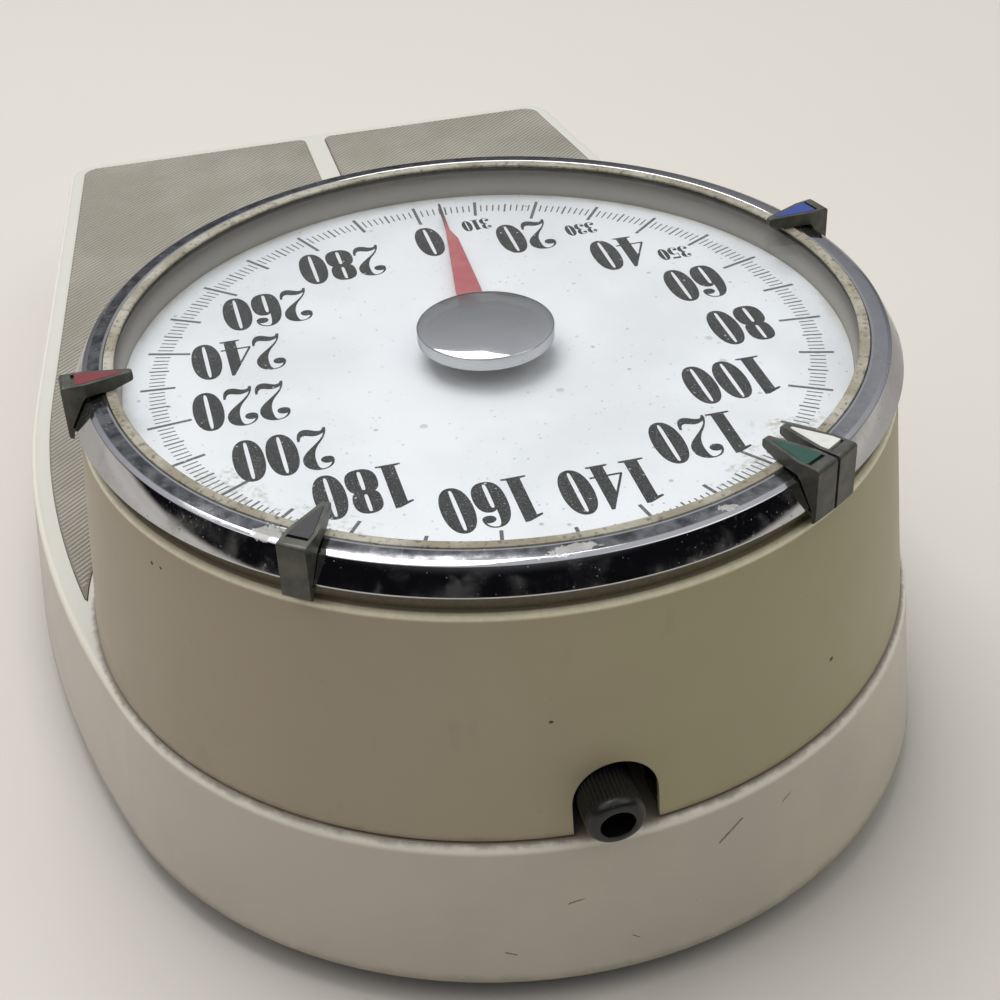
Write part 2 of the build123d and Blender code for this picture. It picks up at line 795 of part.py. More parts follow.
def pinion():
    base_radius = pinion_radius * math.cos(math.radians(pressure_angle))
    root = pinion_radius - pinion_dedendum
    outside = pinion_radius + pinion_addendum
    half_pitch = math.pi / (2 * pinion_teeth) - tooth_thinning / pinion_radius
    steps = [base_radius + (outside - base_radius) * i / flank_steps for i in range(flank_steps + 1)]
    flank = [(root, half_pitch + involute(pinion_radius, base_radius))]
    flank += [(r, half_pitch + involute(pinion_radius, base_radius) - involute(r, base_radius)) for r in steps]
    points = []
    for tooth in range(pinion_teeth):
        centre = 2 * math.pi * tooth / pinion_teeth
        for r, spread in flank:
            points.append((r * math.cos(centre - spread), r * math.sin(centre - spread)))
        for r, spread in reversed(flank):
            points.append((r * math.cos(centre + spread), r * math.sin(centre + spread)))
    gear = extrude(make_face(Polyline(points, close=True)), amount=pinion_height)
    gear -= post(0, 0, -overrun, pinion_height + overrun, shaft_radius + fit_gap)
    return Pos(0, 0, rack_z - pinion_height / 2) * gear


def rack():
    pitch = math.pi * tooth_module
    slope = math.tan(math.radians(pressure_angle))
    half_tooth = pitch / 4 - tooth_thinning
    tip_x = pinion_radius - rack_addendum
    root_x = pinion_radius + rack_dedendum
    back_x = pinion_radius + rack_back
    front_y = rack_pin_y - rack_pad_length / 2
    teeth_before = math.ceil(rack_tooth_overrun / pitch)
    teeth_after = math.ceil((rack_travel + rack_tooth_overrun) / pitch)
    tail_y = rack_tail_y()
    points = [(back_x, front_y), (root_x, front_y)]
    for tooth in range(-teeth_before, teeth_after):
        centre = (tooth + 0.5) * pitch
        root_half = half_tooth + rack_dedendum * slope
        tip_half = half_tooth - rack_addendum * slope
        points += [(root_x, centre - root_half), (tip_x, centre - tip_half)]
        points += [(tip_x, centre + tip_half), (root_x, centre + root_half)]
    points += [(root_x, tail_y), (back_x, tail_y)]
    bar = extrude(make_face(Polyline(points, close=True)), amount=rack_height)
    bar = Pos(0, 0, rack_z - rack_height / 2) * bar
    half_pad = rack_pad_height / 2
    pad_y = rack_pin_y + rack_pad_length / 2
    bar += block(root_x, back_x, front_y, pad_y, rack_z - half_pad, rack_z + half_pad)
    rise = crank_rise * (1 - math.cos(half_swing)) / 2
    slot_half_z = rise + crank_pin_radius + rest_gap
    slot_half_y = crank_pin_radius + rest_gap
    bar -= block(root_x - overrun, back_x + overrun, rack_pin_y - slot_half_y, rack_pin_y + slot_half_y,
                 rack_z - slot_half_z, rack_z + slot_half_z)
    hole_y = tail_y - rack_height / 2
    return bar - rod(hole_y, rack_z, root_x - overrun, back_x + overrun, spring_hole_radius)


def rack_tail_y():
    pitch = math.pi * tooth_module
    return math.ceil((rack_travel + rack_tooth_overrun) / pitch) * pitch + rack_tail


def rack_guide():
    left = -guide_width / 2
    right = guide_width / 2
    top = rack_z + rack_pad_height / 2
    guide = block(left, right, guide_y, guide_y + guide_thickness, deck_top, top)
    guide += block(left, right, guide_y, guide_y + guide_foot, deck_top, deck_top + bracket_thickness)
    half = rack_height / 2 + rest_gap
    low_x = pinion_radius - rack_addendum - rest_gap
    high_x = pinion_radius + rack_back + rest_gap
    low_y = guide_y - overrun
    high_y = guide_y + guide_thickness + overrun
    return guide - block(low_x, high_x, low_y, high_y, rack_z - half, rack_z + half)


def rack_spring():
    x = pinion_radius + (rack_dedendum + rack_back) / 2
    start = rack_tail_y() + rest_gap
    inner = rack_spring_radius - spring_loop_wire
    coil = coil_body(rack_spring_radius, inner, rack_spring_length, rack_spring_coils)
    return Pos(x, start + rack_spring_length, rack_z) * Rot(90, 0, 0) * coil


def rack_spring_post():
    x = pinion_radius + (rack_dedendum + rack_back) / 2
    y = rack_tail_y() + rest_gap * 2 + rack_spring_length + rack_post_radius
    return post(x, y, deck_top, rack_z + rack_spring_radius, rack_post_radius)


# Ribbed sleeve that stands for a close-wound spring
def coil_body(outer, inner, length, coils):
    step = length / coils
    groove = (outer - inner) / 4
    points = [(inner, 0)]
    for turn in range(coils):
        points += [(outer - groove, turn * step), (outer, (turn + 0.5) * step)]
    points += [(outer - groove, length), (inner, length)]
    return turned(points)


def main_spring():
    anchor_z = spring_anchor_height
    loop_inside = spring_loop_radius - spring_loop_wire
    top_centre = anchor_z - (loop_inside - crank_pin_radius - rest_gap)
    low_centre = crank_pin_z + spring_hole_rise + spring_loop_radius
    low = low_centre + spring_loop_radius
    high = top_centre - spring_loop_radius
    inner = main_spring_radius - main_spring_wire
    spring = Pos(0, 0, low) * coil_body(main_spring_radius, inner, high - low, main_spring_coils)
    for end in (low, high):
        spring += Pos(0, 0, end) * Cylinder(main_spring_radius - main_spring_wire / 2, spring_loop_wire * 2)
    spring += Pos(0, 0, top_centre) * Rot(0, 90, 0) * Torus(spring_loop_radius, spring_loop_wire)
    spring += Pos(0, 0, low_centre) * Rot(90, 0, 0) * Torus(spring_loop_radius, spring_loop_wire)
    return Pos(spring_x, spring_y, 0) * spring


def spring_plate():
    half = spring_plate_width / 2
    low = cross_pin_z - cross_pin_radius - spring_plate_margin
    hole_z = crank_pin_z + spring_hole_rise
    high = hole_z + spring_hole_radius + spring_plate_margin
    x0 = spring_x - spring_plate_thickness / 2
    plate = side_plate(
        [(spring_y - half, low), (spring_y + half, low), (spring_y + half, crank_pin_z + crank_end_radius),
         (spring_y + half / 2, high), (spring_y - half / 2, high),
         (spring_y - half, crank_pin_z + crank_end_radius)],
        x0, spring_plate_thickness,
    )
    slot_y = crank_pin_radius + rest_gap + crank_arm * (1 - math.cos(half_swing)) / 2
    slot_z = crank_pin_radius + rest_gap
    through = x0 + spring_plate_thickness + overrun
    slot_front, slot_back = spring_y - slot_y, spring_y + slot_y
    plate -= block(x0 - overrun, through, slot_front, slot_back, crank_pin_z - slot_z, crank_pin_z + slot_z)
    plate -= rod(spring_y, hole_z, x0 - overrun, through, spring_hole_radius)
    return plate - rod(spring_y, cross_pin_z, x0 - overrun, through, cross_pin_radius + fit_gap)


def spring_plate_pin():
    half = cross_pin_length / 2
    return rod(spring_y, cross_pin_z, spring_x - half, spring_x + half, cross_pin_radius)


def bell_crank():
    pivot = (crank_pivot_y, crank_pivot_z)
    rack_pin = (rack_pin_y, crank_pivot_z + crank_rise * math.cos(half_swing))
    plate_pin = (crank_pin_y, crank_pin_z)
    crank = arm(pivot, rack_pin, crank_boss_radius, crank_end_radius, crank_plane_x, crank_thickness)
    crank += arm(pivot, plate_pin, crank_boss_radius, crank_end_radius, crank_plane_x, crank_thickness)
    out = crank_plane_x + crank_thickness + overrun
    crank -= rod(*pivot, crank_plane_x - overrun, out, pivot_pin_radius + running_gap)
    for pin in (rack_pin, plate_pin):
        crank -= rod(*pin, crank_plane_x - overrun, out, crank_pin_radius + fit_gap)
    return crank


def crank_pins():
    out = crank_plane_x + crank_thickness
    rack_pin = rod(rack_pin_y, crank_pivot_z + crank_rise * math.cos(half_swing),
                   pinion_radius + rack_dedendum, out, crank_pin_radius)
    far_end = spring_x - spring_plate_thickness - pin_overhang
    plate_pin = rod(crank_pin_y, crank_pin_z, far_end, out, crank_pin_radius)
    return [rack_pin, plate_pin]


def crank_bracket():
    x0 = crank_plane_x + crank_thickness + rest_gap
    half = crank_boss_radius
    front = crank_pivot_y - half
    back = crank_pivot_y + half
    top = crank_pivot_z + half
    bracket = block(x0, x0 + bracket_thickness, front, back, deck_top, top)
    foot_end = x0 + bracket_thickness + guide_foot
    bracket += block(x0, foot_end, front, back, deck_top, deck_top + bracket_thickness)
    return bracket - rod(crank_pivot_y, crank_pivot_z, x0 - overrun, x0 + bracket_thickness + overrun,
                         pivot_pin_radius + fit_gap)


def crank_pivot_pin():
    out = crank_plane_x + crank_thickness + rest_gap + bracket_thickness
    return rod(crank_pivot_y, crank_pivot_z, crank_plane_x - pin_overhang, out, pivot_pin_radius)


# Knob, screw and nut share one tilted axis: local +Z points out through the drum's notch
def knob_plane():
    tilt = math.radians(knob_tilt)
    return Plane(
        origin=(knob_x, -knob_face_reach, knob_z - (drum_radius(knob_z) - knob_face_reach) * -math.tan(tilt)),
        x_dir=(1, 0, 0), z_dir=(0, -math.cos(tilt), -math.sin(tilt)),
    )


def knob_axis_z(y):
    return knob_plane().origin.Z + (y + knob_face_reach) * math.tan(math.radians(knob_tilt))


def knob_depth(y):
    return (y + knob_face_reach) / math.cos(math.radians(knob_tilt))


def zero_knob():
    points = []
    for rib in range(knob_rib_count):
        for part, radius in enumerate((knob_radius, knob_radius, knob_radius - knob_rib_depth,
                                       knob_radius - knob_rib_depth)):
            angle = 2 * math.pi * (rib + part / 4) / knob_rib_count
            points.append((radius * math.cos(angle), radius * math.sin(angle)))
    ribbed = extrude(make_face(Polyline(points, close=True)), amount=knob_length - knob_smooth_length)
    smooth = Pos(0, 0, knob_smooth_length / 2) * Cylinder(knob_radius, knob_smooth_length)
    smooth = fillet(smooth.edges().sort_by(Axis.Z)[-1], knob_face_round)
    knob = Pos(0, 0, -knob_length) * ribbed + Pos(0, 0, -knob_smooth_length) * smooth
    knob -= Pos(0, 0, -knob_bore_depth / 2) * Cylinder(knob_bore_radius, knob_bore_depth)
    knob -= Pos(0, 0, -knob_length + screw_in_knob / 2) * Cylinder(screw_radius + fit_gap, screw_in_knob)
    return knob_plane() * knob


def zero_screw():
    front = -knob_length + screw_in_knob - fit_gap
    back = -knob_depth(zero_bracket_back) - pin_overhang
    return knob_plane() * Pos(0, 0, (front + back) / 2) * Cylinder(screw_radius, front - back)


def zero_nut():
    centre = -knob_depth(nut_y)
    nut = Box(nut_width, nut_width, nut_length) - Cylinder(screw_radius + running_gap, nut_length + 2 * overrun)
    reach = zero_lever_x + zero_lever_thickness + pin_overhang - spring_x
    pin = Pos(reach / 2 + nut_width / 4, 0, 0) * Rot(0, 90, 0) * Cylinder(nut_pin_radius, reach - nut_width / 2)
    return knob_plane() * Pos(0, 0, centre) * (nut + pin)


def zero_lever():
    pivot = (nut_y, spring_anchor_height)
    foot = (nut_y, knob_axis_z(nut_y))
    hook = (spring_y, spring_anchor_height)
    lever = arm(pivot, foot, crank_boss_radius, zero_lever_end, zero_lever_x, zero_lever_thickness)
    lever += arm(pivot, hook, crank_boss_radius, zero_lever_end, zero_lever_x, zero_lever_thickness)
    through = zero_lever_x + zero_lever_thickness + overrun
    slot = nut_pin_radius + rest_gap
    slot_z = zero_lever_slot / 2
    slot_low, slot_high = foot[1] - slot_z, foot[1] + slot_z
    lever -= block(zero_lever_x - overrun, through, nut_y - slot, nut_y + slot, slot_low, slot_high)
    lever -= rod(*hook, zero_lever_x - overrun, through, crank_pin_radius + fit_gap)
    return lever - rod(*pivot, zero_lever_x - overrun, through, pivot_pin_radius + running_gap)


def zero_lever_pin():
    left = spring_x - spring_loop_radius
    return rod(spring_y, spring_anchor_height, left, zero_lever_x + zero_lever_thickness, crank_pin_radius)


def zero_bracket():
    cheek_x = zero_lever_x + zero_lever_thickness + side_gap
    right = cheek_x + bracket_thickness
    left = knob_x - zero_bracket_width / 2
    foot_top = deck_top + bracket_thickness
    bracket = block(left, right, zero_bracket_front, zero_bracket_back, deck_top, foot_top)
    cheek_low = nut_y - zero_cheek_width / 2
    cheek_high = nut_y + zero_cheek_width / 2
    top = spring_anchor_height + crank_end_radius
    bracket += block(cheek_x, right, cheek_low, cheek_high, deck_top, top)
    for start in (zero_bracket_front, zero_bracket_back - bracket_thickness):
        ear_top = knob_axis_z(start) + screw_radius * 2
        bracket += block(left, right, start, start + bracket_thickness, deck_top, ear_top)
    far = knob_depth(zero_bracket_back) + overrun
    bracket -= knob_plane() * Pos(0, 0, -far / 2) * Cylinder(screw_radius + running_gap, far)
    hole_radius = pivot_pin_radius + fit_gap
    return bracket - rod(nut_y, spring_anchor_height, cheek_x - overrun, right + overrun, hole_radius)


def zero_pivot_pin():
    right = zero_lever_x + zero_lever_thickness + side_gap + bracket_thickness
    return rod(nut_y, spring_anchor_height, zero_lever_x - pin_overhang, right, pivot_pin_radius)


def pointer():
    base = pointer_base_half
    step = pointer_shoulder_radius + pointer_step_length
    outline = [
        (pointer_tip_half, pointer_tip_radius), (pointer_needle_half, step),
        (pointer_shoulder_half, pointer_shoulder_radius), (base, pointer_base_radius), (base, 0), (-base, 0),
        (-base, pointer_base_radius), (-pointer_needle_half, step), (-pointer_tip_half, pointer_tip_radius),
    ]
    needle = extrude(make_face(Polyline(outline, close=True)), amount=pointer_thickness)
    needle += post(0, 0, 0, pointer_thickness, pointer_hub_radius)
    needle -= post(0, 0, -overrun, pointer_thickness + overrun, shaft_radius + fit_gap)
    return Rot(0, 0, -pointer_rest) * Pos(0, 0, dial_height + pointer_height) * needle


def hub_cap():
    edge = dial_height + cap_edge_height
    bottom = dial_height + cap_bottom
    inside = edge - cap_wall
    boss = dial_height + pointer_height + pointer_thickness + fit_gap
    bore = shaft_radius + fit_gap
    rim = cap_radius - cap_edge_round
    half = edge + dome_height(rim / 2, rim, cap_crown)
    crown = ThreePointArc((0, edge + cap_crown), (rim / 2, half), (rim, edge))
    rest = Polyline([
        (rim, edge), (cap_radius, edge - cap_edge_round), (cap_radius, bottom), (cap_radius - cap_wall, bottom),
        (cap_radius - cap_wall, inside), (cap_boss_radius, inside), (cap_boss_radius, boss), (bore, boss),
        (bore, inside), (0, inside), (0, edge + cap_crown),
    ])
    return revolve(Plane.XZ * make_face([crown, rest]), axis=Axis.Z)


def write(node, solids):
    solids = solids if isinstance(solids, list) else [solids]
    placed = [place(solid) for solid in solids]
    export_step(Compound(children=placed) if len(placed) > 1 else placed[0], f"parts/{node}.step")


os.makedirs("parts", exist_ok=True)

write("base_pan", base_pan())
write("rubber_feet", [rubber_foot(x, y) for x, y in foot_places()])
write("foot_rivets", [foot_rivet(x, y) for x, y in foot_places()])
write("lever_fulcrums", lever_fulcrums())
write("drum_standoffs", [standoff(x, y) for x, y in standoff_places()])
write("movement_deck", movement_deck())
write("deck_screws", [deck_screw(x, y) for x, y in standoff_places()])
write("drum_housing", drum_housing())
write("drum_screws", [drum_screw(x, y) for x, y in drum_screw_places()])
write("dial_face", dial_face())
write("dial_liner", dial_liner())
write("lens", lens())
write("lens_gasket", lens_gasket())
write("bezel_ring", bezel_ring())
write("dial_bushing", dial_bushing())
write("shaft_bearing", shaft_bearing())
write("crank_bracket", crank_bracket())
write("crank_pivot_pin", crank_pivot_pin())
write("rack_guide", rack_guide())
write("rack_spring", rack_spring())
write("rack_spring_post", rack_spring_post())
write("zero_bracket", zero_bracket())
write("zero_pivot_pin", zero_pivot_pin())
write("main_spring", main_spring())

write("platform_cover", platform_cover())
write("mat_left", mat(-1))
write("mat_right", mat(1))
write("platform_bearings", platform_bearings())

for name, side in (("left", -1), ("right", 1)):
    write(f"long_lever_{name}", long_lever(side))
    write(f"long_lever_pins_{name}", long_lever_pins(side))
    write(f"short_lever_{name}", short_lever(side))
    write(f"short_lever_pins_{name}", short_lever_pins(side))

write("spring_plate", spring_plate())
write("spring_plate_pin", spring_plate_pin())
write("bell_crank", bell_crank())
write("crank_pins", crank_pins())
write("rack", rack())
write("pinion", pinion())
write("pointer_shaft", pointer_shaft())
write("pointer", pointer())
write("hub_cap", hub_cap())

write("zero_knob", zero_knob())
write("zero_screw", zero_screw())
write("zero_nut", zero_nut())
write("zero_lever", zero_lever())
write("zero_lever_pin", zero_lever_pin())

for colour, clockwise in marker_angles.items():
    write(f"marker_{colour}_clip", marker_clip(clockwise))
    write(f"marker_{colour}_inlay", marker_inlay(clockwise))

print("dial axis y", round(dial_y, 3), "drum wall at knob", round(drum_radius(knob_z), 2))
print("platform travel", round(platform_travel, 4), "plate", round(plate_travel, 4), "rack", round(rack_travel, 4))
print("long lever deg", round(math.degrees(long_swing), 4), "short", round(math.degrees(short_swing), 4))
print("crank pivot", crank_pivot_y, round(crank_pivot_z, 3), "rise", round(crank_rise, 3), "rack z", round(rack_z, 3))
print("spring y", round(spring_y, 3), "knob face z", round(knob_plane().origin.Z, 3))
print("zero lever arm", round(spring_anchor_height - knob_axis_z(nut_y), 3))
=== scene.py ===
import math

import bmesh
import bpy
from mathutils import Matrix, Vector


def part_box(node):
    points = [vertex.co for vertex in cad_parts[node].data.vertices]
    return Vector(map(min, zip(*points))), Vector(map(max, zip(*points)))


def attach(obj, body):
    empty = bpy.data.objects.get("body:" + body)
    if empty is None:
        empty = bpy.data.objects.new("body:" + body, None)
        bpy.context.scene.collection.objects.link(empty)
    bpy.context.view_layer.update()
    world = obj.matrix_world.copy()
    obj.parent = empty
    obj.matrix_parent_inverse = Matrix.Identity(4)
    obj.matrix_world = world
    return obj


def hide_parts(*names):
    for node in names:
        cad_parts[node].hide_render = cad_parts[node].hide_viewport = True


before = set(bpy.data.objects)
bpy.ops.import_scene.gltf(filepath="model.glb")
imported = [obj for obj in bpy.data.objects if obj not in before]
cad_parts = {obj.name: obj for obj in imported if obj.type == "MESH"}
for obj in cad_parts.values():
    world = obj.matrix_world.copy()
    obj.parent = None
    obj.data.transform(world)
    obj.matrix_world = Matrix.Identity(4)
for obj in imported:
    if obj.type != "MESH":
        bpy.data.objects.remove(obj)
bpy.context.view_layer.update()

mm = 0.001
weldDistance = 0.001 * mm
scene = bpy.context.scene

# Places are millimetres from the dial's axis, with heights from the floor
dialLow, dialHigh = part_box("dial_face")
dialAxis = Vector(((dialLow.x + dialHigh.x) / 2, (dialLow.y + dialHigh.y) / 2, 0))
dialTop = dialHigh.z / mm
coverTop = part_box("platform_cover")[1].z / mm


def inRoom(place):
    return dialAxis + Vector(place) * mm


def outward(degrees):  # from the dial's axis, 0 towards the viewer and positive to the right
    turn = math.radians(degrees)
    return Vector((math.sin(turn), -math.cos(turn)))


def clockwise(degrees):  # from the dial's zero at the far side
    turn = math.radians(degrees)
    return Vector((math.sin(turn), math.cos(turn)))


def arc(centre, radius, start, end, steps):
    return [centre + outward(start + (end - start) * step / steps) * radius for step in range(steps + 1)]


def seenColour(red, green, blue):  # screen values of 0 to 255
    linear = []
    for value in (red, green, blue):
        share = value / 255
        linear.append(share / 12.92 if share <= 0.04045 else ((share + 0.055) / 1.055) ** 2.4)
    return (*linear, 1)


# Shader maths: a signal is one output of a node, and an expression on signals adds Math nodes
class Signal:
    def __init__(self, paint, socket):
        self.paint = paint
        self.socket = socket

    def also(self, name):  # another output of the same node
        return Signal(self.paint, self.socket.node.outputs[name])

    def maths(self, operation, first, second):
        return self.paint.node("Math", {"operation": operation}, {0: first, 1: second})

    def __add__(self, other):
        return self.maths("ADD", self, other)

    def __radd__(self, other):
        return self.maths("ADD", other, self)

    def __sub__(self, other):
        return self.maths("SUBTRACT", self, other)

    def __rsub__(self, other):
        return self.maths("SUBTRACT", other, self)

    def __mul__(self, other):
        return self.maths("MULTIPLY", self, other)

    def __truediv__(self, other):
        return self.maths("DIVIDE", self, other)

    def __or__(self, other):  # the stronger of two masks
        return self.maths("MAXIMUM", self, other)

    def ease(self, low, high):  # 0 up to low, 1 from high on
        return self.paint.node("MapRange", {"interpolation_type": "SMOOTHSTEP"},
                               {"Value": self, "From Min": low, "From Max": high})

    def fade(self, low, high):  # 1 up to low, 0 from high on
        return 1 - self.ease(low, high)


class Paint:
    def __init__(self, name, values, tree=None):
        self.values = values
        self.colour = values.get("colour")
        if tree is None:
            self.material = bpy.data.materials.new(name)
            self.material.use_nodes = True
            tree = self.material.node_tree
        self.tree = tree
        tree.nodes.clear()
        self.place = None

    def node(self, kind, settings=None, sockets=None, out=0):
        made = self.tree.nodes.new("ShaderNode" + kind)
        for name, value in (settings or {}).items():
            setattr(made, name, value)
        for name, value in (sockets or {}).items():
            if isinstance(value, Signal):
                self.tree.links.new(value.socket, made.inputs[name])
            else:
                made.inputs[name].default_value = value
        return Signal(self, made.outputs[out]) if len(made.outputs) else made

    def coordinates(self):
        if self.place is None:
            self.place = self.node("TexCoord", out="Object")
        return self.place

    def vector(self, operation, first, second):
        return self.node("VectorMath", {"operation": operation}, {0: first, 1: second})

    def blend(self, mask, under, over):
        return self.node("Mix", {"data_type": "RGBA"}, {0: mask, 6: under, 7: over}, 2)

    def coat(self, mask, name):  # the colour of that name over what is there
        self.colour = self.blend(mask, self.colour, self.values[name])

    def fromAxis(self):  # millimetres from the dial's axis
        away = self.vector("SUBTRACT", self.coordinates(), dialAxis)
        flat = self.vector("MULTIPLY", away, (1 / mm, 1 / mm, 0))
        return self.node("VectorMath", {"operation": "LENGTH"}, {0: flat}, "Value")

    def upward(self):  # millimetres from the floor
        return self.node("SeparateXYZ", None, {0: self.coordinates()}, "Z") / mm

    def sideways(self):  # millimetres to the right of the middle
        return self.node("SeparateXYZ", None, {0: self.coordinates()}, "X") / mm

    def cloud(self, size, detail, stretch=(1, 1, 1)):  # 0 to 1, about size mm across
        place = self.coordinates()
        if stretch != (1, 1, 1):
            place = self.vector("MULTIPLY", place, stretch)
        return self.node("TexNoise", None, {
            "Vector": place, "Scale": 1 / (size * mm), "Detail": detail, "Roughness": 0.55})

    def specks(self, spacing, size):  # dots up to size mm across, of many strengths
        dots = self.node("TexVoronoi", None, {
            "Vector": self.coordinates(), "Scale": 1 / (spacing * mm)})
        strength = self.node("SeparateColor", None, {0: dots.also("Color")})
        return dots.fade(size / spacing * 0.3, size / spacing * 0.5) * strength.ease(0.35, 0.9)

    def patch(self, place, reach, ragged, grain):  # a ragged spot, reach in mm along X, Y and Z
        away = self.vector("SUBTRACT", self.coordinates(), inRoom(place))
        away = self.vector("DIVIDE", away, Vector(reach) * mm)
        gap = self.node("VectorMath", {"operation": "LENGTH"}, {0: away}, "Value")
        return (gap + (self.cloud(grain, 4) - 0.5) * ragged * 2).fade(0.6, 1.0)

    def scratch(self, start, end, width):  # a thin line between two places, with ragged sides
        run = inRoom(end) - inRoom(start)
        away = self.vector("SUBTRACT", self.coordinates(), inRoom(start))
        along = self.node("VectorMath", {"operation": "DOT_PRODUCT"},
                          {0: away, 1: run / run.length_squared}, "Value")
        along = self.node("Clamp", None, {"Value": along})
        nearest = self.node("VectorMath", {"operation": "SCALE"}, {0: run, "Scale": along})
        gap = self.node("VectorMath", {"operation": "DISTANCE"}, {0: away, 1: nearest}, "Value")
        return (gap / (width * mm) + (self.cloud(0.8, 4) - 0.5) * 1.6).fade(0.5, 1.0)

    def surface(self, roughness, metallic=0.0, relief=None, depth=0.02, extra=None):
        sockets = {"Base Color": self.colour, "Roughness": roughness, "Metallic": metallic}
        if relief is not None:
            bump = {"Height": relief, "Distance": depth * mm}
            sockets["Normal"] = self.node("Bump", None, bump)
        sockets.update(extra or {})
        shader = self.node("BsdfPrincipled", None, sockets)
        self.node("OutputMaterial", None, {"Surface": shader})
        return self.material


def strongest(masks):  # of several, wherever one is strongest
    together = masks[0]
    for mask in masks[1:]:
        together = together | mask
    return together


# The drum's shape, which its paint uses too
drum = {
    "bottomRadius": 114.4,
    "bottom": coverTop + 0.6,
    "lipRadius": 108.1,
    "lip": dialTop - 3,
    "neckRadius": 105.5,
    "neckTop": dialTop + 5.4,
    "neckWall": 2.2,
    "wall": 2.0,
    "seatRadius": 94.0,
    "seat": dialTop - 1,
    "flangeRadius": 90.0,
    "flangeTop": 56.0,
    "lipRound": 0.7,
    "edgeRound": 0.3,
    "notchWidth": 21.5,
    "notchHeight": 19.3,
    "notchReach": 126.0,
}
drum["lean"] = (drum["lipRadius"] - drum["bottomRadius"]) / (drum["lip"] - drum["bottom"])

ivoryPlastic = {
    "colour": seenColour(170, 157, 136),
    "yellowed": seenColour(168, 160, 125),
    "greyed": seenColour(164, 152, 130),
    # painted highlight along the drum's rounded lip
    "lipHighlight": seenColour(246, 240, 210),
    "grime": seenColour(98, 86, 64),
    # painted shade in the recessed neck under the bezel
    "neckShade": seenColour(116, 106, 84),
    "chip": seenColour(46, 40, 30),
    # painted shade for the drum's inside
    "insideShade": seenColour(44, 40, 34),
    "roughness": 0.38,
    "lipHighlightFrom": (106.4, 107.0),
    "neckTo": (106.5, 107.3),
    "seam": (52.2, 54.6),
    "insideOf": (112.4, 113.4),
    "chips": (
        ((61.9, -93.8, 71.6), 0.8),
        ((-14.5, -110.1, 85.3), 0.6),
        ((-96.1, -51.3, 106.8), 0.7),
        ((-94.3, -54.4, 107.2), 0.6),
    ),
}


def ivoryPaint():
    paint = Paint("ivory_plastic", ivoryPlastic)
    reach = paint.fromAxis()
    height = paint.upward()
    yellowing = (paint.sideways() / 110 + paint.cloud(70, 3)).ease(-0.25, 0.85)
    paint.coat(yellowing, "yellowed")
    paint.coat(paint.cloud(28, 4).ease(0.45, 0.75) * 0.35, "greyed")
    # painted highlight: a bright cream band along the drum's rounded lip
    lip = height.ease(drum["lip"] - 1.8, drum["lip"] - 0.8) * reach.ease(*ivoryPlastic["lipHighlightFrom"])
    paint.coat(lip * (0.55 + paint.cloud(2.2, 4) * 0.6), "lipHighlight")
    seam = (height + paint.cloud(5, 4) * 2.2).fade(*ivoryPlastic["seam"])
    # painted shade: the recessed neck between the lip and the bezel is darkened
    neck = height.ease(drum["lip"] - 0.1, drum["lip"] + 0.1) * reach.fade(*ivoryPlastic["neckTo"])
    paint.coat(neck * (0.5 + paint.cloud(1.2, 4) * 0.7), "neckShade")
    smear = paint.cloud(9, 4, (1, 1, 0.4)).ease(0.62, 0.8) * 0.12
    dirt = paint.specks(4.5, 0.5) * 0.35
    # darker along the seam, smears and specks, with more painted shade in the neck
    grime = seam * 0.55 | neck * paint.cloud(3, 4) * 0.5 | smear | dirt
    paint.coat(grime, "grime")
    marks = strongest([
        paint.patch(place, (size, size, size * 0.8), 0.8, 0.8) for place, size in ivoryPlastic["chips"]])
    paint.coat(marks, "chip")
    # painted shade: the drum's inside, seen through the notch, is painted near black
    insideShade = (reach - (height - drum["bottom"]) * drum["lean"]).fade(*ivoryPlastic["insideOf"])
    insideShade = insideShade * height.fade(drum["lip"] - 6, drum["lip"] - 3)
    paint.coat(insideShade, "insideShade")
    roughness = ivoryPlastic["roughness"] + paint.cloud(14, 4) * 0.12 + grime * 0.2
    relief = paint.cloud(1.1, 2) * 0.5 + paint.cloud(9, 2) * 1.5 - marks * 8
    return paint.surface(roughness, relief=relief, depth=0.03, extra={"IOR": 1.5})


enamel = {
    "colour": seenColour(198, 189, 176),
    "olive": seenColour(199, 193, 174),
    "shade": seenColour(186, 177, 166),
    "grime": seenColour(104, 86, 64),
    "scuff": seenColour(104, 92, 70),
    "roughness": 0.36,
    # painted light: the top face paler than the sides
    "top": seenColour(206, 204, 193),
    # painted highlight on the rounded top edge
    "edgeHighlight": seenColour(238, 233, 218),
    "seam": (115.6, 117.4),
    "rim": (9.5, 13.0),
    "scratches": (
        ((26.3, -114.3, 38.4), (32.6, -112.2, 42.7), 0.42),
        ((44.6, -108.0, 40.6), (48.6, -106.6, 42.8), 0.3),
        ((37.0, -111.0, 38.8), (43.8, -108.4, 40.4), 0.14),
        ((-13.2, -117.2, 32.2), (-9.4, -117.6, 33.0), 0.26),
        ((-29.2, -115.8, 18.2), (-26.6, -116.4, 17.4), 0.26),
        ((2.2, -119.5, 18.4), (4.2, -119.4, 17.0), 0.2),
        ((19.6, -117.4, 23.4), (19.9, -117.6, 21.4), 0.2),
    ),
}


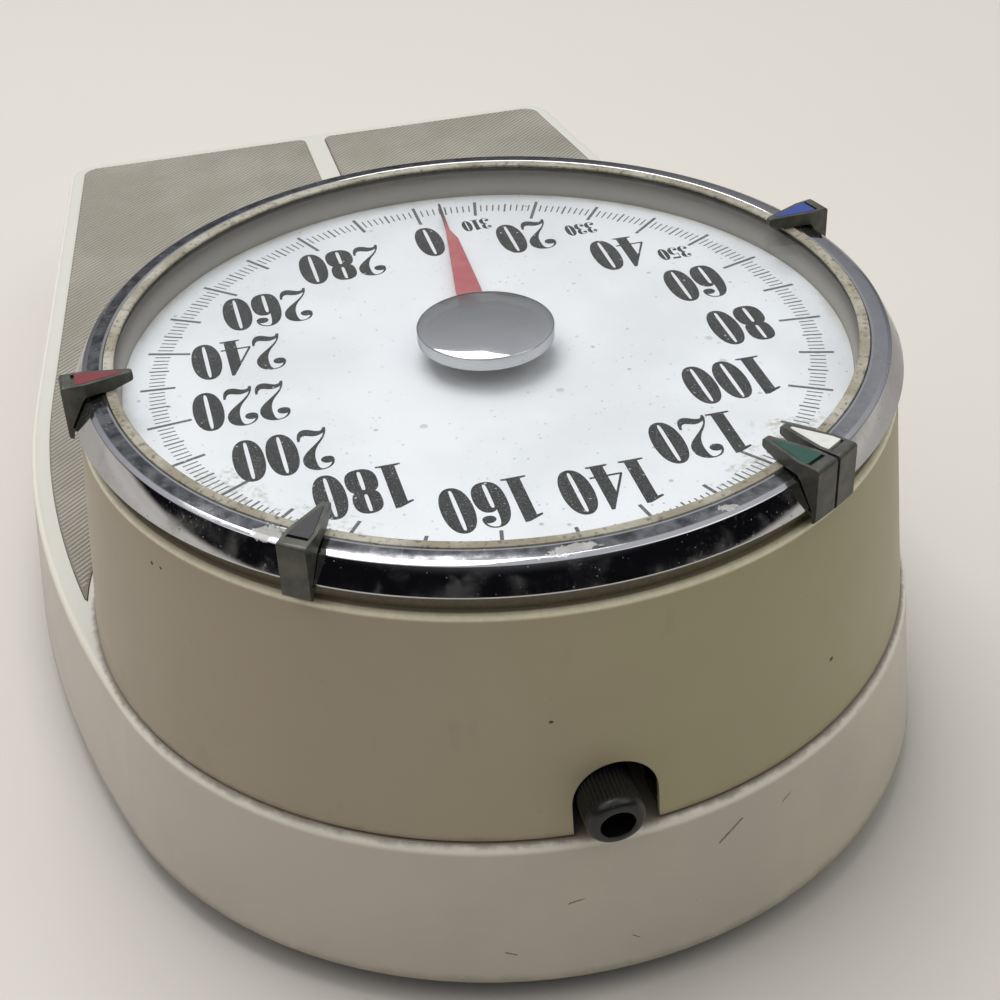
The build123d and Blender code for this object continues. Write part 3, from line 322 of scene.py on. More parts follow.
def enamelPaint():
    paint = Paint("white_enamel", enamel)
    height = paint.upward()
    paint.coat((paint.sideways() / 90).ease(-0.9, 0.6), "olive")
    paint.coat(paint.cloud(55, 4).ease(0.35, 0.7) * 0.7, "shade")
    # painted light: the cover's top face is painted paler than its sides
    litTop = height.ease(coverTop - 1.6, coverTop - 0.2)
    paint.coat(litTop, "top")
    # painted highlight: a near-white band along the cover's rounded top edge
    edgeHighlightBand = height.ease(coverTop - 2.8, coverTop - 1.2) * height.fade(coverTop - 0.5, coverTop - 0.05)
    paint.coat(edgeHighlightBand, "edgeHighlight")
    seam = (paint.fromAxis() + paint.cloud(3.5, 4) * 2.4).fade(*enamel["seam"])
    seam = seam * height.ease(coverTop - 1.5, coverTop - 0.5)
    rim = (height + paint.cloud(6, 4) * 3).fade(*enamel["rim"]) * 0.5
    smear = paint.cloud(26, 5, (1, 1, 0.5)).ease(0.56, 0.85) * 0.07
    dirt = paint.specks(6, 0.5) * 0.3
    grime = seam * 0.75 | rim | smear | dirt
    paint.coat(grime, "grime")
    marks = strongest([paint.scratch(start, end, width) for start, end, width in enamel["scratches"]])
    paint.coat(marks * 0.85, "scuff")
    roughness = enamel["roughness"] + paint.cloud(20, 4) * 0.14 + grime * 0.25
    relief = paint.cloud(2.4, 2) + paint.cloud(22, 2) * 3 - marks * 6
    return paint.surface(roughness, relief=relief, depth=0.02, extra={"Coat Weight": 0.25})


matRubber = {
    "colour": seenColour(152, 148, 135),
    "worn": seenColour(166, 162, 150),
    "groove": seenColour(104, 97, 84),
    "edge": seenColour(74, 62, 46),
}


def matPaint():
    paint = Paint("mat", matRubber)
    height = paint.upward()
    paint.coat(paint.cloud(40, 4).ease(0.35, 0.7), "worn")
    low = height.fade(coverTop + 0.58, coverTop + 0.9)
    paint.coat(low * (0.35 + paint.cloud(18, 4) * 0.6), "groove")
    side = height.fade(coverTop + 0.45, coverTop + 0.58) * paint.cloud(1.6, 4).ease(0.25, 0.5)
    paint.coat(side, "edge")
    return paint.surface(0.62 + paint.cloud(9, 3) * 0.2, relief=paint.cloud(0.6, 2), depth=0.03)


chromePlate = {
    "colour": (0.55, 0.55, 0.57, 1),
    "haze": (0.40, 0.39, 0.38, 1),
    "pit": (0.03, 0.028, 0.025, 1),
    "etched": (0.085, 0.085, 0.09, 1),
    "rust": seenColour(104, 74, 44),
    "stain": seenColour(206, 204, 196),
    "roughness": 0.05,
    "etchedFrom": (100.9, 101.2),
    "etchedTo": (104.0, 104.6),
    "etchedUpTo": (30, 100),
    "stains": (
        ((-6.5, -102.6, 9.8), (7.0, 1.6, 1.5)),
        ((30.5, -98.5, 9.8), (3.0, 1.2, 1.5)),
        ((-70.0, -76.8, 9.6), (4.5, 3.0, 1.5)),
    ),
    "edgeTint": (0.6, 0.6, 0.62, 1),
}


def chromePaint(name, wear):
    paint = Paint(name, chromePlate)
    reach = paint.fromAxis()
    height = paint.upward()
    haze = paint.cloud(13, 5).ease(0.45, 0.75) * 0.45 * wear
    paint.coat(haze, "haze")
    top = height.ease(dialTop + 9.1, dialTop + 9.35)
    top = top * reach.fade(*chromePlate["etchedTo"]) * reach.ease(*chromePlate["etchedFrom"])
    leftwards = 0.2 + paint.sideways().fade(*chromePlate["etchedUpTo"]) * 0.8
    etched = top * (0.6 + paint.cloud(4, 5).ease(0.3, 0.7) * 0.4) * wear * leftwards
    paint.coat(etched, "etched")
    pits = paint.specks(1.3, 0.42) * wear * (paint.cloud(16, 3).ease(0.35, 0.6) | top * 0.5)
    paint.coat(pits * 0.8, "pit")
    rust = (height + paint.cloud(2.2, 4) * 2.2).fade(dialTop + 2.0, dialTop + 3.2) * wear
    rust = rust * paint.cloud(8, 3).ease(0.4, 0.6)
    paint.coat(rust * 0.8, "rust")
    dust = paint.cloud(0.9, 5).ease(0.55, 0.8) * paint.cloud(26, 3).ease(0.4, 0.7) * wear
    dust = dust | paint.specks(1.9, 0.42) * wear
    paint.coat(dust * 0.25, "stain")
    crust = rust
    for (x, y, rise), size in chromePlate["stains"]:
        spot = paint.patch((x, y, dialTop + rise), size, 1.0, 1.6)
        paint.coat(spot * 0.5, "stain")
        crust = crust | spot
    dull = haze * 0.4 + pits * 0.5 + crust * 0.6 + dust * 0.3 + etched * 0.07
    relief = paint.cloud(7, 2) * 2 + pits * -2
    return paint.surface(chromePlate["roughness"] + dull, 1 - (crust | dust * 0.25) * 0.8, relief, 0.004,
                         {"Specular Tint": chromePlate["edgeTint"]})


dialEnamel = {
    "colour": seenColour(232, 236, 239),
    "shade": seenColour(219, 223, 226),
    "grime": seenColour(160, 152, 130),
    "dust": seenColour(122, 120, 112),
    "rim": (95.5, 101.0),
    "grimePlaces": ((52.0, -80.0), (66.0, -66.0), (-78.0, -46.0), (-60.0, -68.0)),
    "drop": seenColour(188, 192, 192),
    "drops": ((58.9, -11.1), (58.2, -23.5), (13.4, -24.0), (49.2, 46.1), (-24.0, -30.0)),
}


def dialPaint():
    paint = Paint("dial_white", dialEnamel)
    paint.coat(paint.cloud(45, 3).ease(0.35, 0.7), "shade")
    rim = (paint.fromAxis() + paint.cloud(6, 4) * 5).ease(*dialEnamel["rim"])
    rim = rim * paint.cloud(30, 3).ease(0.35, 0.65)
    paint.coat(rim * 0.6, "grime")
    for x, y in dialEnamel["grimePlaces"]:
        spot = paint.patch((x, y, dialTop), (15, 15, 15), 1.1, 5) * paint.cloud(1.4, 5).ease(0.42, 0.7)
        paint.coat(spot * 0.6, "grime")
    for x, y in dialEnamel["drops"]:
        spot = paint.patch((x, y, dialTop), (1.3, 1.3, 1.3), 0.4, 1.5)
        paint.coat(spot * 0.8, "drop")
    dust = paint.specks(2.8, 0.8) * 0.5 | paint.specks(7, 1.5) * 0.5
    paint.coat(dust, "dust")
    return paint.surface(0.38 + paint.cloud(12, 3) * 0.1, extra={"IOR": 1.45})


dialInk = {
    "colour": seenColour(26, 28, 30),
    "worn": seenColour(44, 45, 46),
    "speck": seenColour(214, 216, 216),
}


def inkPaint(name, fading):
    paint = Paint(name, dialInk)
    paint.coat(paint.cloud(5, 5).ease(0.4, 0.75), "worn")
    paint.coat(fading, "speck")
    flecks = paint.specks(2.2, 0.8) * (0.3 + paint.cloud(14, 3).ease(0.35, 0.6) * 0.7)
    flecks = flecks | paint.cloud(0.42, 2).ease(0.56, 0.74) * 0.6
    paint.coat(flecks * 0.8, "speck")
    return paint.surface(0.6, extra={"Specular IOR Level": 0.15})


greyLiner = {
    "colour": seenColour(158, 155, 148),
    # painted shade towards the top of the liner
    "dark": seenColour(104, 101, 95),
    "grime": seenColour(136, 126, 102),
}


def linerPaint():
    paint = Paint("liner_grey", greyLiner)
    height = paint.upward()
    # painted shade: the liner darker towards its top, under the gasket
    paint.coat(height.ease(dialTop + 2, dialTop + 7.4), "dark")
    foot = (height + paint.cloud(3, 4) * 1.6).fade(dialTop + 1.0, dialTop + 2.2)
    paint.coat(foot * 0.5, "grime")
    return paint.surface(0.5 + paint.cloud(9, 3) * 0.15, relief=paint.cloud(2, 2), depth=0.03)


creamGasket = {
    "colour": seenColour(138, 131, 112),
    "dark": seenColour(74, 67, 52),
    "pale": seenColour(178, 174, 160),
}


def gasketPaint():
    paint = Paint("gasket", creamGasket)
    paint.coat(paint.cloud(12, 4).ease(0.35, 0.7), "pale")
    paint.coat(paint.cloud(1.4, 5).ease(0.5, 0.72) * 0.8, "dark")
    return paint.surface(0.65, relief=paint.cloud(0.9, 4), depth=0.15)


clearLens = {"colour": seenColour(214, 212, 204), "straight": 0.04, "roughness": 0.04, "film": 0.035}


def lensPaint():
    paint = Paint("clear_lens", clearLens)
    facing = paint.node("LayerWeight", None, {"Blend": 0.5}, "Facing")
    mirror = facing.maths("POWER", facing, 5) * (1 - clearLens["straight"]) + clearLens["straight"]
    dust = paint.specks(2.2, 0.4) * 0.5 | paint.specks(6, 0.8) * 0.4
    film = paint.cloud(38, 5).ease(0.5, 0.85) * clearLens["film"]
    dirt = dust * (0.3 + paint.cloud(30, 3).ease(0.35, 0.65) * 0.7) | film
    return paint.surface(clearLens["roughness"], 1 - dirt.ease(0.01, 0.1), extra={"Alpha": mirror | dirt})


pointerRed = {
    "colour": seenColour(170, 72, 78),
    "faded": seenColour(180, 98, 100),
    "needle": seenColour(56, 46, 48),
    "needleFrom": (67.0, 79.0),
}


def pointerPaint():
    paint = Paint("pointer_red", pointerRed)
    paint.coat(paint.cloud(9, 4).ease(0.4, 0.7), "faded")
    needle = (paint.fromAxis() + paint.cloud(2, 3)).ease(*pointerRed["needleFrom"])
    paint.coat(needle, "needle")
    return paint.surface(0.42, relief=paint.cloud(1.2, 2), depth=0.02, extra={"Coat Weight": 0.2})


pewterCast = {
    "colour": (0.066, 0.066, 0.056, 1),
    "pale": (0.108, 0.108, 0.09, 1),
    "grime": (0.03, 0.027, 0.022, 1),
}


def pewterPaint():
    paint = Paint("pewter", pewterCast)
    paint.coat(paint.cloud(4, 4).ease(0.35, 0.7), "pale")
    paint.coat(paint.cloud(1.6, 4).ease(0.6, 0.8) * 0.5, "grime")
    grain = paint.cloud(0.5, 3)
    return paint.surface(0.34 + grain * 0.16, 0.5, grain, 0.02)


def plainPaint(name, colour, roughness, metallic, size=3.0, relief=0.02, wear=0.35):
    darker = tuple(value * 0.55 for value in colour[:3]) + (1,)
    paint = Paint(name, {"colour": colour, "darker": darker, "speck": seenColour(168, 162, 148)})
    paint.coat(paint.cloud(size, 4).ease(0.4, 0.75) * wear, "darker")
    paint.coat(paint.specks(size * 1.4, size * 0.25) * wear, "speck")
    grain = paint.cloud(size * 0.25, 3)
    return paint.surface(roughness + (grain - 0.5) * 0.16, metallic, grain, relief)


# Colour, roughness, metallic, and the mottling's size, relief and wear
plainFinishes = {
    "steel": ((0.42, 0.42, 0.41, 1), 0.38, 1.0),
    "spring_steel": ((0.30, 0.30, 0.31, 1), 0.32, 1.0),
    "brass": ((0.55, 0.40, 0.16, 1), 0.3, 1.0),
    "black_rubber": ((0.025, 0.025, 0.025, 1), 0.75, 0.0),
    "black_plastic": ((0.004, 0.004, 0.0042, 1), 0.33, 0.0, 2.0, 0.015, 0.2),
    "inlay_blue": (seenColour(40, 64, 140), 0.4, 0.0, 2.0),
    "inlay_white": (seenColour(214, 214, 206), 0.45, 0.0, 2.0, 0.02, 0.2),
    "inlay_green": (seenColour(16, 72, 58), 0.4, 0.0, 2.0),
    "inlay_black": (seenColour(44, 44, 46), 0.42, 0.0, 2.0),
    "inlay_red": (seenColour(118, 30, 38), 0.4, 0.0, 2.0),
}

finishes = {
    "ivory_plastic": ivoryPaint(),
    "white_enamel": enamelPaint(),
    "mat": matPaint(),
    "chrome": chromePaint("bezel_chrome", 1.0),
    "hub_chrome": chromePaint("hub_chrome", 0.4),
    "dial_white": dialPaint(),
    "dial_ink": inkPaint("dial_ink", 0.0),
    "dial_lines": inkPaint("dial_lines", 0.14),
    "liner_grey": linerPaint(),
    "gasket": gasketPaint(),
    "clear_lens": lensPaint(),
    "pointer_red": pointerPaint(),
    "pewter": pewterPaint(),
}
for name, settings in plainFinishes.items():
    finishes[name] = plainPaint(name, *settings)
print("finishes made:", len(finishes))

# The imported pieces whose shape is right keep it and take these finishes
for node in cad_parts.values():
    old = node.data.materials[0].name.split(".")[0] if node.data.materials else "steel"
    node.data.materials.clear()
    node.data.materials.append(finishes.get(old, finishes["steel"]))
print("nodes dressed:", len(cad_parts))


def makePiece(name, points, faces, body, slot, finish, replaces=(), sharp=32, weld=True):
    mesh = bpy.data.meshes.new(name)
    mesh.from_pydata([inRoom(place) for place in points], [], faces)
    form = bmesh.new()
    form.from_mesh(mesh)
    if weld:
        bmesh.ops.remove_doubles(form, verts=form.verts, dist=weldDistance)
        bmesh.ops.dissolve_degenerate(form, edges=form.edges, dist=weldDistance)
    bmesh.ops.recalc_face_normals(form, faces=form.faces)
    form.to_mesh(mesh)
    form.free()
    return placeMesh(name, mesh, body, slot, finish, replaces, sharp)


def smooth(mesh, sharp=32):  # edges of more degrees stay sharp
    mesh.shade_smooth()
    mesh.set_sharp_from_angle(angle=math.radians(sharp))


def placeMesh(name, mesh, body, slot, finish, replaces=(), sharp=32):
    smooth(mesh, sharp)
    mesh.materials.clear()
    mesh.materials.append(finishes[finish])
    piece = bpy.data.objects.new(name, mesh)
    scene.collection.objects.link(piece)
    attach(piece, body)
    for node in replaces:
        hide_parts(node)
    return piece


def softened(corners, steps=5):  # corners of (across, up, radius) as points, the round ones as arcs
    outline = []
    for index, (across, up, radius) in enumerate(corners):
        corner = Vector((across, up))
        if radius <= 0:
            outline.append(corner)
            continue
        back = (Vector(corners[index - 1][:2]) - corner).normalized()
        ahead = (Vector(corners[(index + 1) % len(corners)][:2]) - corner).normalized()
        half = back.angle(ahead) / 2
        centre = corner + (back + ahead).normalized() * radius / math.sin(half)
        first = corner + back * radius / math.tan(half) - centre
        last = corner + ahead * radius / math.tan(half) - centre
        start = math.atan2(first.y, first.x)
        sweep = math.remainder(math.atan2(last.y, last.x) - start, math.tau)
        for step in range(steps + 1):
            angle = start + sweep * step / steps
            outline.append(centre + Vector((math.cos(angle), math.sin(angle))) * radius)
    return outline


def walls(here, there, count):  # faces between two closed loops of count points
    faces = []
    for index in range(count):
        beside = (index + 1) % count
        faces.append((here + index, here + beside, there + beside, there + index))
    return faces


def turned(outline, steps=288):  # a closed outline of (reach, height) carried round the dial's axis
    points = []
    faces = []
    count = len(outline)
    for step in range(steps):
        direction = clockwise(360 * step / steps)
        points += [(*(direction * reach), height) for reach, height in outline]
        faces += walls(step * count, (step + 1) % steps * count, count)
    return points, faces


def notchCutter(half, top, front, back, steps=40):  # an arch, from front to back
    points = []
    under = drum["bottom"] - 2
    across = [(half, under)]
    for step in range(steps + 1):
        angle = math.pi * step / steps
        across.append((half * math.cos(angle), top - half + half * math.sin(angle)))
    across.append((-half, under))
    for y in (front, back):
        points += [(x, y, z) for x, z in across]
    count = len(across)
    faces = [tuple(range(count)), tuple(range(2 * count - 1, count - 1, -1)), *walls(0, count, count)]
    return points, faces


def makeDrum():
    neckInner = drum["neckRadius"] - drum["neckWall"]
    flangeWall = drum["bottomRadius"] + drum["lean"] * (drum["flangeTop"] - drum["bottom"]) - drum["wall"]
    flangeLow = drum["flangeTop"] - drum["wall"]
    shelf = drum["seat"] - drum["wall"]
    shelfWall = drum["bottomRadius"] + drum["lean"] * (shelf - drum["bottom"]) - 2 * drum["wall"]
    outline = softened([
        (drum["bottomRadius"], drum["bottom"], drum["edgeRound"]),
        (drum["lipRadius"], drum["lip"], drum["lipRound"]),
        (drum["neckRadius"], drum["lip"], drum["edgeRound"]),
        (drum["neckRadius"], drum["neckTop"], drum["edgeRound"]),
        (neckInner, drum["neckTop"], 0), (neckInner, drum["seat"], 0),
        (drum["seatRadius"], drum["seat"], 0), (drum["seatRadius"], shelf, 0), (shelfWall, shelf, 0),
        (flangeWall, drum["flangeTop"], 0), (drum["flangeRadius"], drum["flangeTop"], 0),
        (drum["flangeRadius"], flangeLow, 0), (flangeWall, flangeLow, 0),
        (drum["bottomRadius"] - drum["wall"], drum["bottom"], drum["edgeRound"]),
    ])
    points, faces = turned(outline)
    piece = makePiece("drum_shell", points, faces, "base", "ivory_plastic", "ivory_plastic",
                      ["drum_housing"])
    top = drum["bottom"] + drum["notchHeight"]
    back = 1 - drum["flangeRadius"]
    points, faces = notchCutter(drum["notchWidth"] / 2, top, -drum["notchReach"], back)
    tool = bpy.data.meshes.new("notch_tool")
    tool.from_pydata([inRoom(place) for place in points], [], faces)
    cutter = bpy.data.objects.new("notch_tool", tool)
    scene.collection.objects.link(cutter)
    cut = piece.modifiers.new("notch", "BOOLEAN")
    cut.operation = "DIFFERENCE"
    cut.solver = "EXACT"
    cut.object = cutter
    depsgraph = bpy.context.evaluated_depsgraph_get()
    shaped = bpy.data.meshes.new_from_object(piece.evaluated_get(depsgraph))
    piece.modifiers.clear()
    piece.data = shaped
    bpy.data.objects.remove(cutter)
    smooth(shaped)


makeDrum()
print("drum made")

knob = {
    "face": (-2.5, -122.8, 61.01),
    "tilt": 6.0,
    "radius": 7.3,
    "length": 18.0,
    "faceRound": 2.3,
    "ribs": 40,
    "ribDepth": 0.45,
    "ribFront": 2.9,
    "ribSlope": 0.8,
    "ribWave": (0.5, 0.85, 1, 0.85, 0.5, 0.15, 0, 0.15),
    "bodyInset": 0.3,
    "boreRadius": 4.3,
    "boreDepth": 7.0,
    "boreRound": 0.35,
    "boreEndRound": 0.3,
}


def makeKnob():
    tilt = math.radians(knob["tilt"])
    axis = Vector((0, -math.cos(tilt), -math.sin(tilt)))
    upward = Vector((0, -math.sin(tilt), math.cos(tilt)))
    full = knob["radius"]
    body = full - knob["bodyInset"]
    outline = softened([
        (0, -knob["length"], 0), (body, -knob["length"], 0),
        (body, -knob["ribFront"] - knob["ribSlope"], 0),
        (full, -knob["ribFront"], 0), (full, 0, knob["faceRound"]),
        (knob["boreRadius"], 0, knob["boreRound"]),
        (knob["boreRadius"], -knob["boreDepth"], knob["boreEndRound"]), (0, -knob["boreDepth"], 0),
    ], 8)
    wave = knob["ribWave"]
    steps = knob["ribs"] * len(wave)
    points = []
    faces = []
    count = len(outline)
    for step in range(steps):
        angle = math.tau * step / steps
        sideways = Vector((math.cos(angle), 0, 0)) + upward * math.sin(angle)
        ribReach = full - knob["ribDepth"] * (1 - wave[step % len(wave)])
        for reach, along in outline:
            if reach > body - 0.1 and along < -knob["ribFront"] - 0.1:  # on the side, behind its front
                reach = ribReach
            points.append(Vector(knob["face"]) + axis * along + sideways * reach)
        for index in range(count - 1):
            here = step * count + index
            there = (step + 1) % steps * count + index
            faces.append((here, here + 1, there + 1, there))
    makePiece("ribbed_knob", points, faces, "zero_knob", "black_plastic", "black_plastic",
              ["zero_knob"], sharp=40)


bezel = {
    "innerRadius": 100.2,
    "innerTop": dialTop + 9.9,
    "edgeRadius": 105.6,
    "edgeTop": dialTop + 9.0,
    "skirtRadius": 109.4,
    "skirt": dialTop + 2.4,
    "wall": 1.2,
    "topDrop": 0.4,
    "innerSide": 103.2,
    "gap": 0.1,
    "round": 0.6,
    "rollRound": 0.45,
    "shoulderRound": 0.5,
    "innerRound": 0.2,
    "lowRound": 0.1,
}

# Corners are the reach, the height over the dial and the rounding
gasket = {
    "section": (
        (97.4, 9.2, 0.1), (97.4, 9.75, 0.15), (97.9, 10, 0.2), (100.1, 10, 0.2), (100.1, 8.65, 0),
        (103.0, 8.65, 0), (103.0, 7.6, 0), (99.9, 7.6, 0), (99.9, 9.15, 0),
    ),
}

liner = {"section": ((96.6, 0, 0.2), (97.8, 7.6, 0.3), (103.0, 7.6, 0), (103.0, 0, 0))}


def makeBezel():
    under = bezel["innerTop"] - bezel["wall"]
    outline = softened([
        (bezel["innerRadius"], under, bezel["lowRound"]),
        (bezel["innerRadius"], bezel["innerTop"], bezel["rollRound"]),
        (bezel["edgeRadius"] - bezel["wall"], bezel["innerTop"] - bezel["topDrop"], bezel["shoulderRound"]),
        (bezel["edgeRadius"], bezel["edgeTop"], bezel["round"]),
        (bezel["skirtRadius"], bezel["skirt"], bezel["rollRound"]),
        (bezel["skirtRadius"] - bezel["wall"], bezel["skirt"], bezel["innerRound"]),
        (drum["neckRadius"] + bezel["gap"], drum["neckTop"] + bezel["gap"], bezel["innerRound"]),
        (bezel["innerSide"], under, bezel["lowRound"]),
    ])
    makePiece("bezel_band", *turned(outline, 360), "base", "chrome", "chrome", ["bezel_ring"], sharp=50)


def makeRing(name, section, finish, node):
    outline = softened([(reach, dialTop + height, radius) for reach, height, radius in section])
    makePiece(name, *turned(outline, 360), "base", finish, finish, [node])


hub = {
    "radius": 18.3,
    "bottom": dialTop + 5.4,
    "edgeTop": dialTop + 8.7,
    "crown": 1.7,
    "wall": 1.2,
    "bossRadius": 5.0,
    "bossBottom": dialTop + 4.0,
    "domeSteps": 24,
    "edgeRound": 0.3,
    "innerRound": 0.4,
    "footRound": 0.2,
}


def makeHub():
    dome = []
    for step in range(1, hub["domeSteps"] + 1):  # flat in the middle, rounder towards the rim
        angle = math.pi / 2 * step / hub["domeSteps"]
        height = hub["edgeTop"] + hub["crown"] * math.sin(angle)
        dome.append((hub["radius"] * math.cos(angle), height, 0))
    under = hub["edgeTop"] - hub["wall"]
    inner = hub["radius"] - hub["wall"]
    outline = softened([
        (hub["bossRadius"], hub["bossBottom"], hub["footRound"]),
        (hub["bossRadius"], under, hub["innerRound"]),
        (inner, under, hub["innerRound"]), (inner, hub["bottom"], hub["footRound"]),
        (hub["radius"], hub["bottom"], hub["edgeRound"]), (hub["radius"], hub["edgeTop"], 0),
        *dome, (0, hub["bossBottom"], 0),
    ])
    makePiece("hub_disc", *turned(outline, 192), "pointer", "chrome", "hub_chrome", ["hub_cap"], sharp=50)


makeKnob()
makeBezel()
makeRing("lens_seal", gasket["section"], "gasket", "lens_gasket")
makeRing("liner_ring", liner["section"], "liner_grey", "dial_liner")
makeHub()
print("knob, rings and hub made")

platform = {
    "noseRadius": 120.5,
    "noseHalfAngle": 72.0,
    "sideRadius": 379.0,
    "sideTaper": 7.3,
    "rearReach": 318.0,
    "rearCorner": 16.5,
    "topInset": 42.5 * math.tan(math.radians(6)),
}

mats = {
    "border": 5.75,
    "divider": 8.0,
    "drumGap": 2.5,
    "drumClear": 0.3,
    "front": 13.0,
    "cornerRadius": 3.0,
    "slab": 0.6,
    "top": 1.0,
    "chamfer": 0.2,
    "ribPitch": 1.6,
    "ribWidth": 1.25,
    "ribMargin": 0.5,
    "ribAngle": 42.0,
    "ribEnd": 0.5,
    "ribFoot": 0.01,
    "ribShortest": 2.5,
    "ribSection": ((-0.5, 0.0), (-0.34, 0.72), (0.0, 1.0), (0.34, 0.72), (0.5, 0.0)),
    "drumSteps": 32,
}


def rearOutline(inset, steps=36):  # the platform's right side and far end, drawn in by inset
    sideAngle = 90 + platform["sideTaper"]
    sideCentre = outward(platform["noseHalfAngle"]) * (platform["noseRadius"] - platform["sideRadius"])
    sideOut = outward(sideAngle)
    sideEnd = sideCentre + sideOut * platform["sideRadius"]
    cornerY = platform["rearReach"] - platform["rearCorner"]
    cornerX = (sideOut.dot(sideEnd) - platform["rearCorner"] - sideOut.y * cornerY) / sideOut.x
    side = arc(sideCentre, platform["sideRadius"] - inset, platform["noseHalfAngle"], sideAngle, steps)
    corner = arc(Vector((cornerX, cornerY)), platform["rearCorner"] - inset, sideAngle, 180, steps // 3)
    return side + corner


def matOutline(shrink):
    inset = platform["topInset"] + mats["border"] + shrink
    clear = drum["bottomRadius"] + mats["drumGap"] + shrink
    front = mats["front"] + shrink
    divide = mats["divider"] / 2 + shrink
    nearest = clear + mats["drumClear"]
    outer = [place for place in rearOutline(inset) if place.y > front and place.length > nearest]
    corners = [(place.x, place.y, 0) for place in outer]
    corners.append((divide, outer[-1].y, mats["cornerRadius"]))
    corners.append((divide, math.sqrt(clear ** 2 - divide ** 2), mats["cornerRadius"]))
    startAngle = math.degrees(math.asin(divide / clear))
    endAngle = math.degrees(math.acos(front / clear))
    for step in range(1, mats["drumSteps"] + 1):
        place = clockwise(startAngle + (endAngle - startAngle) * step / mats["drumSteps"]) * clear
        corners.append((place.x, place.y, 0))
    return softened(corners)


def crossings(outline, start, direction):  # how far along a line each edge of the outline is met
    across = Vector((-direction.y, direction.x))
    met = []
    for index, here in enumerate(outline):
        there = outline[(index + 1) % len(outline)]
        low = (here - start).dot(across)
        high = (there - start).dot(across)
        if (low > 0) != (high > 0):
            met.append((here.lerp(there, low / (low - high)) - start).dot(direction))
    return sorted(met)


def makeMat(side, name):
    slabTop = coverTop + mats["slab"]
    foot = slabTop - mats["ribFoot"]
    rise = mats["top"] - mats["slab"] + mats["ribFoot"]
    low = matOutline(0)
    high = matOutline(mats["chamfer"])
    count = min(len(low), len(high))
    points = [(place.x * side, place.y, coverTop) for place in low[:count]]
    points += [(place.x * side, place.y, slabTop) for place in high[:count]]
    faces = [tuple(range(count)), tuple(range(count, 2 * count)), *walls(0, count, count)]
    inner = [Vector((place.x * side, place.y)) for place in matOutline(mats["ribMargin"])]
    turn = math.radians(mats["ribAngle"])
    direction = Vector((math.cos(turn), math.sin(turn)))
    across = Vector((-direction.y, direction.x))
    offsets = [place.dot(across) for place in inner]
    rows = int((max(offsets) - min(offsets)) / mats["ribPitch"])
    section = mats["ribSection"]
    end = mats["ribEnd"]
    for row in range(1, rows + 1):
        start = across * (min(offsets) + row * mats["ribPitch"])
        met = crossings(inner, start, direction)
        for near, far in zip(met[::2], met[1::2]):
            if far - near < mats["ribShortest"]:
                continue
            first = len(points)
            for along, share in ((near, 0.0), (near + end, 1.0), (far - end, 1.0), (far, 0.0)):
                for sideways, height in section:
                    place = start + direction * along + across * sideways * mats["ribWidth"]
                    points.append((place.x, place.y, foot + rise * height * share))
            for ring in range(3):
                for index in range(len(section) - 1):
                    here = first + ring * len(section) + index
                    there = here + len(section)
                    faces.append((here, here + 1, there + 1, there))
    makePiece(name + "_ribbed", points, faces, "platform", "mat", "mat", [name], sharp=50, weld=False)
    return rows


for side, name in ((-1, "mat_left"), (1, "mat_right")):
    print(name, "ribs:", makeMat(side, name))


# Numerals: each outline is a start, then corners of two values and curves of six
def oval(x, y, halfWidth, halfHeight, full):
    return [
        (x + halfWidth, y),
        (x + halfWidth, y + full * halfHeight, x + full * halfWidth, y + halfHeight, x, y + halfHeight),
        (x - full * halfWidth, y + halfHeight, x - halfWidth, y + full * halfHeight, x - halfWidth, y),
        (x - halfWidth, y - full * halfHeight, x - full * halfWidth, y - halfHeight, x, y - halfHeight),
        (x + full * halfWidth, y - halfHeight, x + halfWidth, y - full * halfHeight, x + halfWidth, y),
    ]


lowerBall = [
    (0, 25, 3.5, 28.5, 8, 28.5), (12.5, 28.5, 16, 25, 16, 20.5), (16, 16, 12.5, 12.5, 8, 12.5),
    (6.5, 12.5, 5, 13, 4, 13.5), (6, 6, 10.5, 1.5, 16, 1.5),
]

